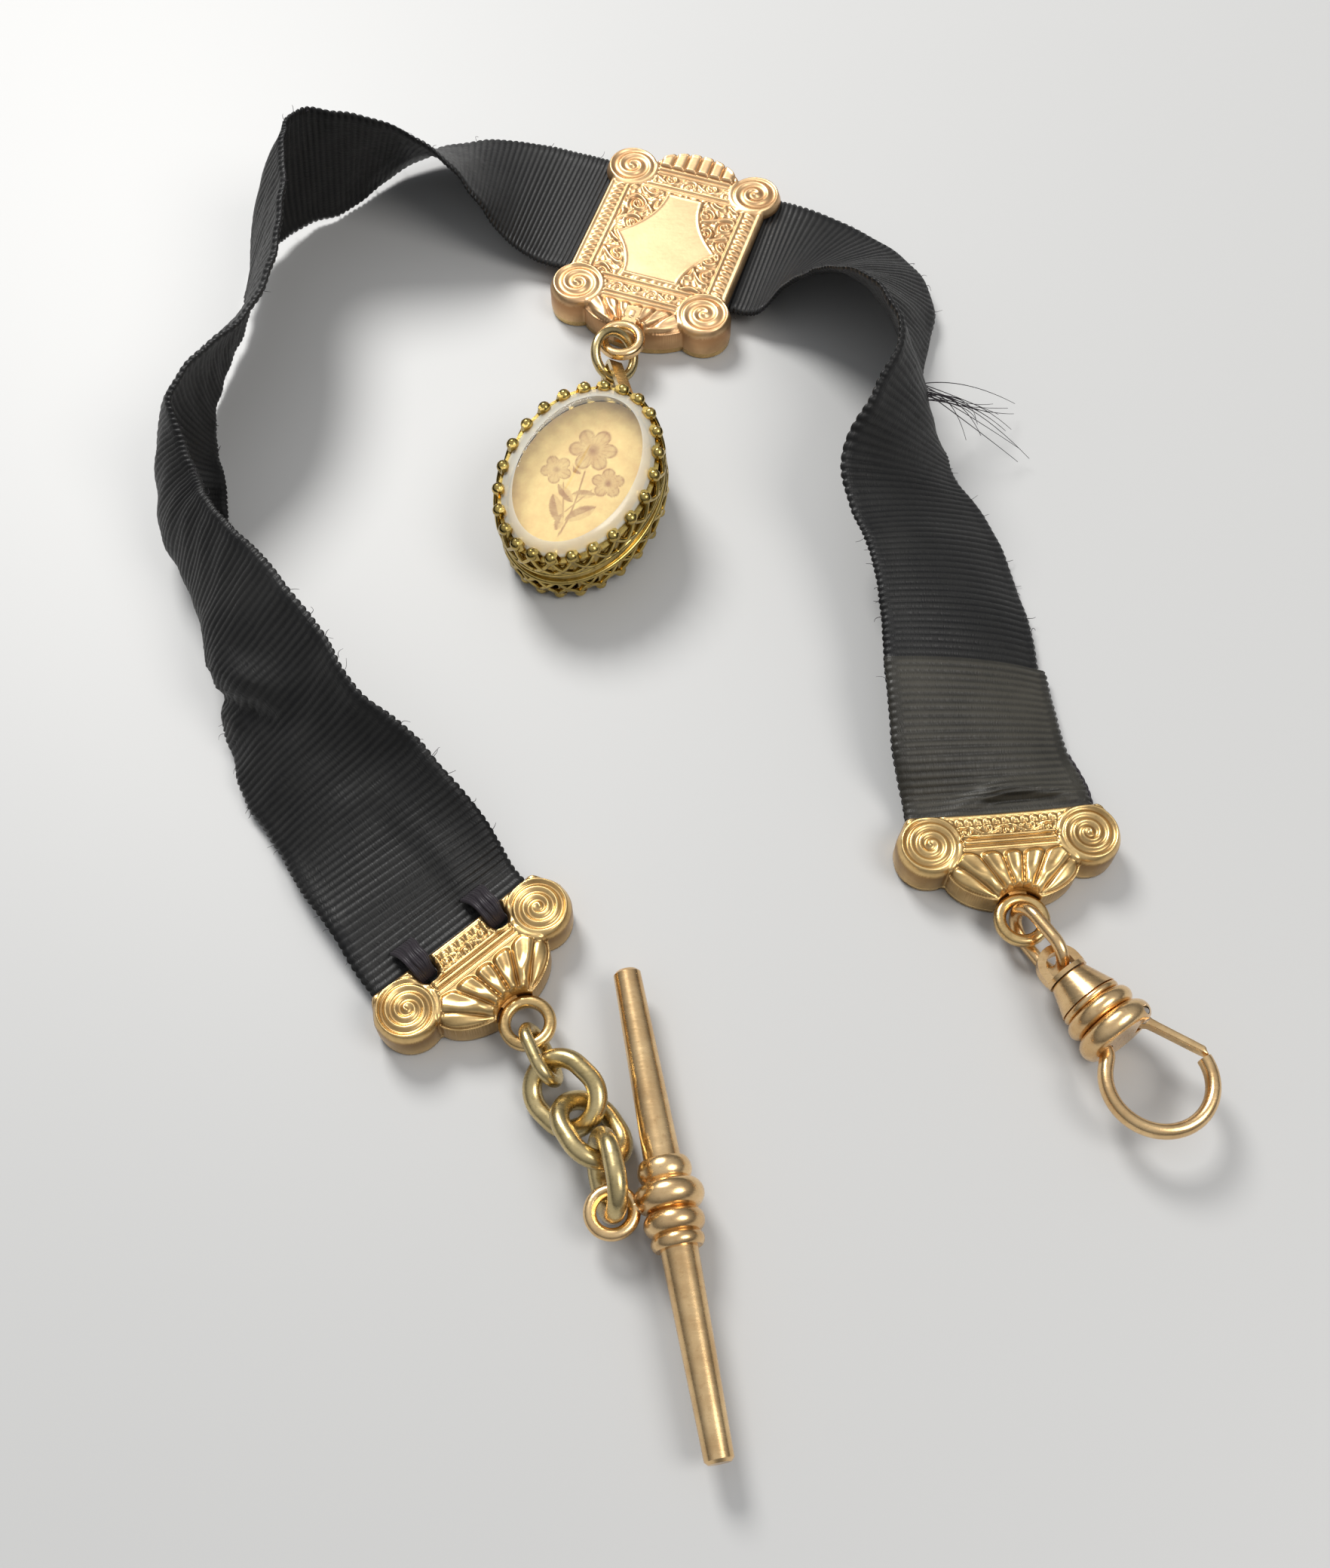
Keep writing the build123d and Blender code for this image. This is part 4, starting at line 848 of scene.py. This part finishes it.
# %% From outline and relief to a mesh
def blurred(height, times):
    """Each height becomes the mean of the nine about it, this many times."""
    for _ in range(times):
        padded = np.pad(height, 1, mode="edge")
        rows = padded[:-2] + padded[1:-1] + padded[2:]
        height = (rows[:, :-2] + rows[:, 1:-1] + rows[:, 2:]) / 9
    return height


def cut_grid(outline, reach, spacing):
    """A flat grid cut to an outline: x, y, which points lie inside, and the quads kept."""
    low_x, high_x, low_y, high_y = reach
    x, y = np.meshgrid(np.arange(low_x, high_x, spacing), np.arange(low_y, high_y, spacing))
    inside = outline(x, y) < 0
    kept = inside[:-1, :-1] | inside[1:, :-1] | inside[:-1, 1:] | inside[1:, 1:]
    quads = grid_faces(*x.shape).reshape(*kept.shape, 4)[kept]
    # points just outside the outline are drawn in to lie on it
    nudge = 0.01
    for _ in range(5):
        slope_x = (outline(x + nudge, y) - outline(x - nudge, y)) / (2 * nudge)
        slope_y = (outline(x, y + nudge) - outline(x, y - nudge)) / (2 * nudge)
        step = np.where(inside, 0, outline(x, y) / np.maximum(slope_x**2 + slope_y**2, 0.3))
        step = np.clip(step, -spacing, spacing)
        x, y = x - step * slope_x, y - step * slope_y
    return x, y, inside, quads


def open_edges(quads):
    """The edges that only one quad has, in that quad's own direction."""
    edges = np.concatenate([quads[:, [i, (i + 1) % 4]] for i in range(4)])
    _, first, counts = np.unique(np.sort(edges, 1), axis=0, return_index=True, return_counts=True)
    return edges[first[counts == 1]]


def used_only(points, faces):
    """Leaves out the points that no face uses; also says which are kept."""
    used, faces = np.unique(faces, return_inverse=True)
    return used, points[used], faces.reshape(-1, 4)


def pressed_face(name, place, outline, relief, reach, spacing, ground, mouth, worn, **piece):
    """A height field cut to an outline, with a rounded shoulder and walls."""
    x, y, inside, quads = cut_grid(outline, reach, spacing)
    depth = np.where(inside, np.maximum(-outline(x, y), 0), 0)
    drop = shoulder - np.sqrt(
        np.clip(shoulder**2 - np.clip(shoulder - depth, 0, shoulder) ** 2, 0, None))
    height = relief(x, y, depth) * ease(depth, 0, 0.2) - drop
    # painted shade: how far each point lies below the blurred surface around it, for darkening the
    # hollows
    hollow_shade = np.clip(0.5 + (blurred(height, 10) - height) * 6.0, 0, 1)
    surface = place.point(x, y, ground + height).reshape(-1, 3)
    # walls stand under every edge that only one quad has
    border = open_edges(quads)
    at_edge, where = np.unique(border, return_inverse=True)
    edge_x, edge_y = x.ravel()[at_edge], y.ravel()[at_edge]
    levels = np.where(mouth(edge_x, edge_y), place.mouth_level, back_thickness)
    feet = place.point(edge_x, edge_y, levels)
    walls = np.concatenate([border[:, ::-1], where.reshape(-1, 2) + len(surface)], 1)
    used, points, faces = used_only(
        np.concatenate([surface, feet]), np.concatenate([quads, walls]))
    # the walls get a fixed, light share of painted shade
    values = {
        "hollow_shade": np.concatenate([hollow_shade.ravel(), np.full(len(feet), 0.62)])[used],
        "worn": np.concatenate([worn(x, y).ravel(), np.zeros(len(feet))])[used]}
    return new_piece(name, points, faces, slot_name="plate_gold", values=values, **piece)


def flat_back(name, place, outline, reach, spacing, **piece):
    """A flat plate cut to an outline: the same grid below and above, joined by a wall."""
    x, y, _, quads = cut_grid(outline, reach, spacing)
    border = open_edges(quads)
    walls = np.concatenate([border[:, ::-1], border + x.size], 1)
    points = np.concatenate(
        [place.point(x, y, level).reshape(-1, 3) for level in (back_thickness, 0.0)])
    _, points, faces = used_only(points, np.concatenate([quads, walls, quads[:, ::-1] + x.size]))
    return new_piece(name, points, faces, slot_name="plate_gold", **piece)


def plate_mouth(x, y):
    return (np.abs(x) < 6.95) & (y > plate_top - 2.2)


def slide_mouth(x, y):
    return (np.abs(x) > 6.4) & (y > -5.35) & (y < 8.55)


def nowhere(x, y):
    return np.zeros_like(x)


def slide_wear(x, y):
    return 0.75 * ease(-cartouche(x, y), -0.3, 0.6) + 0.25 * ease(np.abs(y), 6.5, 9.0)


plate_ground, slide_ground = 2.72, 2.62
back_spacing, plate_spacing, slide_spacing = 0.15, 0.075, 0.085
plate_reach, slide_reach = (-8.0, 8.05, -4.65, 2.65), (-8.0, 8.05, -10.6, 10.3)
back_reach, back_inset = (-8.2, 8.25, -4.8, 2.9), 0.04
for plate, side_name in ((left_plate, "left"), (right_plate, "right")):
    flat_back(
        f"{side_name}_plate_sheet", plate, lambda x, y: plate_outline(x, y, False) + back_inset,
        back_reach, back_spacing, body="ribbon", materials=[side_gold],
        stands_for=[f"{side_name}_plate_back"])
    pressed_face(
        f"{side_name}_plate_relief", plate,
        lambda x, y, notched=side_name == "left": plate_outline(x, y, notched),
        plate_relief, plate_reach, plate_spacing, plate_ground, plate_mouth, nowhere,
        body="ribbon", materials=[plate_gold], stands_for=[f"{side_name}_plate_front"])
pressed_face(
    "slide_relief", slide_place, slide_outline, slide_relief, slide_reach, slide_spacing,
    slide_ground, slide_mouth, slide_wear, body="slide", materials=[slide_gold],
    stands_for=["slide_front"])

# %% [markdown]
# ## The pendant
#
# Round beads sit on the crowns' points on both faces. Below them pairs of bars cross down to
# the middle band. The glass has a clear face and a milky bevel, and the card under it carries a
# sepia spray of flowers.

# %% Crowns
pendant_middle, long_axis, cross_axis, pendant_normal = own_axes("centre_band")
pendant_length, pendant_width = 15.4, 11.4
band_half, gallery_height, gallery_wall, claw_count = 0.75, 1.7, 0.55, 24
claw_top, claw_step = band_half + gallery_height, 2 * pi / claw_count
bead_radius, bar_radius, ring_radius = 0.50, 0.19, 0.24


def on_oval(turn, half_length, half_width, level, side):
    """Points of an oval about the pendant's middle, on its front (side 1) or back (-1)."""
    along, across, level = tall(half_length * np.cos(turn), half_width * np.sin(turn), level)
    beside = side * (across * cross_axis + level * pendant_normal)
    return pendant_middle + along * long_axis + beside


def rim_point(turn, out, level, side):
    """Points on the pendant's wall: the turn round the oval, how far out, and the level."""
    return on_oval(turn, pendant_length / 2 + out, pendant_width / 2 + out, level, side)


bar_share = np.linspace(0, 1, 9)
bar_level = claw_top + 0.15 - (gallery_height + 0.15) * bar_share**0.8
bar_bow = 0.05 + 0.14 * np.sin(pi * bar_share)
ring_turn = np.linspace(0, 2 * pi, 144, endpoint=False)
crown_parts = []
for side in (1, -1):
    for index in range(claw_count):
        turn = claw_step * index
        bead = rim_point(turn, 0.12 - gallery_wall / 2, claw_top + 0.34, side)
        crown_parts.append(ball(bead, bead_radius))
        for lean in (-0.95, 0.95):
            path = rim_point(turn + lean * claw_step * bar_share, bar_bow, bar_level, side)
            crown_parts.append(tube(path, bar_radius, 7))
    ring = rim_point(ring_turn, 0.08, band_half * 0.9, side)
    crown_parts.append(tube(ring, ring_radius, closed=True))
new_piece("crown_beads", *joined(crown_parts), "pendant", "gallery_brass", [gallery_brass])


# %% Glass and card
glass_length, glass_width, glass_bevel, glass_thickness = 14.0, 10.0, 0.8, 1.6
glass_lip = 0.32                    # how far the bevel stands out over the crown
glass_top = claw_top + glass_bevel
clear_glass, tree, main = shader(
    "clear_glass", Base_Color=(0.95, 0.93, 0.86, 1), Alpha=0.09, Specular_IOR_Level=0.8)
smear = noise(tree, scale=240.0, detail=5.0)
fill(tree, main, Roughness=spread(tree, smear, 0.3, 0.75, 0.02, 0.16))
milky_glass, tree, main = shader("milky_glass", Alpha=0.60, Specular_IOR_Level=0.7, Coat_Weight=0.4)
haze = noise(tree, scale=300.0, detail=3.0)
fill(
    tree, main, Roughness=spread(tree, haze, 0.3, 0.7, 0.12, 0.3),
    Base_Color=mixed(tree, haze, (0.86, 0.84, 0.76, 1), (0.62, 0.60, 0.50, 1)))

profile = (  # inset from the glass's outline, and level; the clear face starts at the sixth
    (0.0, glass_top - glass_thickness), (0.0, claw_top + 0.02), (-glass_lip, claw_top + 0.06),
    (-glass_lip, claw_top + 0.32), (glass_bevel - 0.32, glass_top - 0.02),
    (glass_bevel - 0.2, glass_top + 0.04), (glass_bevel, glass_top + 0.06),
    (2.2, glass_top + 0.08), (3.6, glass_top + 0.09), (4.9, glass_top + 0.09))
turn = np.linspace(0, 2 * pi, 160, endpoint=False)
slot_index = np.repeat(np.array(np.arange(len(profile) - 1) >= 5, np.int32), len(turn))
for side, face_name in ((1, "front"), (-1, "back")):
    rings = [
        on_oval(turn, glass_length / 2 - inset, glass_width / 2 - inset, level, side)
        for inset, level in profile]
    glass = new_piece(
        f"{face_name}_bevelled_glass", np.concatenate(rings),
        grid_faces(len(profile), len(turn), close_columns=True), "pendant", "bevelled_glass",
        [milky_glass, clear_glass], [f"{face_name}_glass"])
    glass.data.polygons.foreach_set("material_index", slot_index)


def blossom(p, q, centre, radius, petals, turn):
    """Ink of one flower: petals with dark edges round a dark eye."""
    dp, dq = p - centre[0], q - centre[1]
    distance, angle = np.hypot(dp, dq) / radius, np.arctan2(dq, dp) + turn
    edge = 0.62 + 0.38 * np.abs(np.cos(petals * angle / 2)) ** 0.7
    inside_flower = ease(edge - distance, -0.03, 0.06)
    vein = 0.35 * ridge(np.sin(petals * angle * 1.5), 0.45) * ease(distance, 0.15, 0.5)
    shade = 0.30 + 0.35 * ridge(distance - edge, 0.16) + 0.45 * ridge(distance, 0.30) + vein * 0.5
    return inside_flower * shade


def leaf_ink(p, q, root, heading, length, width):
    """Ink of one leaf: darker to one side of its midrib."""
    direction = heading_vector(heading)
    along = ((p - root[0]) * direction[0] + (q - root[1]) * direction[1]) / length
    across = (-(p - root[0]) * direction[1] + (q - root[1]) * direction[0]) / width
    half = np.clip(4 * along * (1 - along), 0, 1) ** 0.8
    inside_leaf = ease(half - np.abs(across), 0, 0.12) * (along > 0) * (along < 1)
    shade = 0.42 + 0.2 * np.sign(across) * ease(np.abs(across), 0, 0.2)
    return inside_leaf * (shade + 0.25 * ridge(across, 0.12))


leaves = (  # root, heading, length and half width
    ((-4.0, -0.3), 38, 2.6, 0.55), ((-3.6, -0.5), -40, 2.6, 0.55), ((-2.0, -0.4), 62, 2.0, 0.42),
    ((-1.4, 0.0), -68, 1.8, 0.40), ((0.4, 0.1), 70, 1.7, 0.36), ((-4.6, -0.3), 8, 1.5, 0.36))
flowers = (  # centre, radius, petals and turn
    ((2.6, 0.2), 1.9, 6, 0.2), ((0.5, -2.1), 1.3, 5, 0.9), ((0.0, 2.0), 1.25, 5, 0.4))


def spray_ink(p, q):
    """A common spray: three flowers and a few leaves on bending stems."""
    stem = ridge(q - 0.5 * np.sin(0.4 * p) + 0.2, 0.10) * ease(p, -5.2, -4.6) * (p < 1.6)
    branches = np.maximum(
        ridge(q + 0.42 * (p + 3.2) + 0.1, 0.09) * (p > -3.0) * (p < 0.6),
        ridge(q - 0.50 * (p + 3.4) + 0.3, 0.09) * (p > -3.4) * (p < 0.3))
    ink = np.maximum(0.7 * stem, 0.6 * branches)
    for leaf in leaves:
        ink = np.maximum(ink, leaf_ink(p, q, *leaf))
    for centre, radius, petals, turn in flowers:
        near = np.hypot(p - centre[0], q - centre[1]) < radius
        flower = blossom(p, q, centre, radius, petals, turn)
        ink = np.where(near, np.maximum(flower, ink * 0.2), ink)
    return ink


card_paper, tree, main = shader("sepia_card", Specular_IOR_Level=0.3)
grain = noise(tree, scale=900.0, detail=6.0, roughness=0.7)
ink_broken = maths(
    tree, "MULTIPLY", attribute(tree, "ink"), spread(tree, grain, 0.3, 0.65, 0.85, 1.35))
paper_tone = mixed(
    tree, spread(tree, grain, 0.35, 0.7), (0.80, 0.61, 0.24, 1), (0.70, 0.47, 0.19, 1))
fill(
    tree, main, Base_Color=mixed(tree, ink_broken, paper_tone, (0.26, 0.105, 0.04, 1)),
    Roughness=spread(tree, grain, 0.3, 0.7, 0.55, 0.75))

card_level, card_rings, card_turns = glass_top - glass_thickness - 0.06, 70, 200
card_half_length, card_half_width = 6.94, 4.94
share = np.linspace(0, 1, card_rings)[:, None]
turn = np.linspace(0, 2 * pi, card_turns, endpoint=False)[None]
p, q = card_half_length * share * np.cos(turn), card_half_width * share * np.sin(turn)
for side, face_name in ((1, "front"), (-1, "back")):
    points = on_oval(turn, card_half_length * share, card_half_width * share, card_level, side)
    ink = np.clip(spray_ink(p, q * side) + 0.22 * ease(share, 0.78, 1.0), 0, 1)
    new_piece(
        f"{face_name}_sepia_card", points.reshape(-1, 3),
        grid_faces(card_rings, card_turns, close_columns=True)[:, ::-1], "pendant", "card",
        [card_paper], [f"{face_name}_card"], {"ink": ink})

# %% [markdown]
# ## The gate
#
# The flat strip is eased all round, and its end is cut to lie against the tip of the hook.

# %% Gate
eye_level, swivel_lead, swivel_heading, swivel_rise = 1.6, 5.8, -55.6, 3.0
right_eye = right_plate.point(0, -plate_eye_drop, eye_level)
swivel_middle = right_eye + np.array([0.876, -1.422, 0.202]) * swivel_lead
swivel_x = heading_vector(swivel_heading, swivel_rise)
swivel_z = np.cross(swivel_x, heading_vector(swivel_heading + 90))
swivel_y = np.cross(swivel_z, swivel_x)
gate_turn = radians(24.5)
gate_x = swivel_x * cos(gate_turn) + swivel_y * sin(gate_turn)
gate_y = swivel_y * cos(gate_turn) - swivel_x * sin(gate_turn)
gate_root = swivel_middle + swivel_x * 0.4 + swivel_y * 1.85
gate_profile = (  # reach, half thickness, half width, and how far the cut leans
    (-0.50, 0.10, 0.34, 0.0), (-0.42, 0.34, 0.42, 0.0), (-0.2, 0.50, 0.45, 0.0),
    (0.0, 0.54, 0.45, 0.0), (0.25, 0.48, 0.45, 0.0), (0.6, 0.30, 0.45, 0.0),
    (1.2, 0.275, 0.45, 0.0), (2.4, 0.27, 0.45, 0.02), (3.6, 0.27, 0.45, 0.02),
    (4.3, 0.26, 0.44, 0.0), (4.50, 0.24, 0.42, 0.16), (4.56, 0.16, 0.34, 0.20))
gate_sides = 24
turn = np.linspace(0, 2 * pi, gate_sides, endpoint=False)[:, None]
square_y, square_z = (np.sign(wave) * np.abs(wave) ** 0.45 for wave in (np.sin(turn), np.cos(turn)))
points = np.concatenate([
    gate_root + gate_x * (reach - lean * square_y) + gate_y * square_y * half_thickness
    + swivel_z * square_z * half_width
    for reach, half_thickness, half_width, lean in gate_profile])
new_piece(
    "gate_strip", points, closed_strip(len(gate_profile), gate_sides)[:, ::-1], "gate",
    "rose_gold", [rose_gold], ["gate"])

# %% [markdown]
# ## Finishes for the pieces of the solid model
#
# Rings, links, the bar, the swivel and the hook are right as they are; they only need metal.

# %% Dress the remaining pieces
finishes = (
    (side_gold, "slide_back left_eye right_eye"),
    (gallery_brass, "centre_band front_gallery back_gallery"),
    (link_brass, "pendant_ring bail chain_link_1 chain_link_2 chain_link_3 chain_link_4"),
    (rose_gold, "slide_eye bar_eye bar_collar bar_upper_arm bar_lower_arm"),
    (rose_gold, "swivel_link stirrup stirrup_rivet swivel_body hook gate"),
    (steel, "gate_spring gate_pin"))
for material, names in finishes:
    for name in names.split():
        nodes[name].data.materials.clear()
        nodes[name].data.materials.append(material)

# %% [markdown]
# ## Table, light and camera

# %% Stage
floor_level = -0.0001
floor_mesh = bpy.data.meshes.new("floor")
floor_mesh.from_pydata(
    [(x, y, floor_level) for x, y in ((-3, -3), (3, -3), (3, 3), (-3, 3))], [], [(0, 1, 2, 3)])
floor = linked("floor", floor_mesh)
floor_paint, _, _ = shader("pale_floor", Base_Color=(0.50, 0.50, 0.495, 1), Roughness=0.5)
floor_mesh.materials.append(floor_paint)

world = bpy.data.worlds.new("soft_room")
bpy.context.scene.world = world
world.use_nodes = True
sky = world.node_tree
sky_place = made(sky, "TexCoord", output="Generated")
height = spread(sky, made(sky, "SeparateXYZ", output=2, i0=sky_place), 0.05, 0.85)
fill(
    sky, sky.nodes["Background"], Strength=0.60,
    Color=mixed(sky, height, (0.13, 0.135, 0.15, 1), (1.0, 1.02, 1.05, 1)))


def aimed(thing, location, target):
    """Puts a lamp or the camera at its place, looking at a target."""
    thing.location = location
    thing.rotation_mode = "QUATERNION"
    thing.rotation_quaternion = (Vector(target) - thing.location).to_track_quat("-Z", "Y")


def soft_light(name, location, size, power, color):
    data = bpy.data.lights.new(name, "AREA")
    data.shape, data.size, data.energy, data.color = "DISK", size, power, color
    aimed(linked(name, data), location, (0, 0, 0))


soft_light("window", (-0.12, 0.22, 0.26), 0.14, 1.2, (1.0, 0.99, 0.97))
soft_light("room", (0.22, -0.10, 0.32), 0.20, 0.6, (1.0, 0.97, 0.93))

# %% Camera
camera_data = bpy.data.cameras.new("camera")
camera_data.lens = 38.6
camera_data.clip_start, camera_data.clip_end = 0.005, 10
camera = linked("camera", camera_data)
aimed(camera, (0.00159, -0.0643, 0.1081), (0.00159, -0.008835, 0.0))
bpy.context.scene.camera = camera
bpy.context.scene.view_settings.view_transform = "Standard"
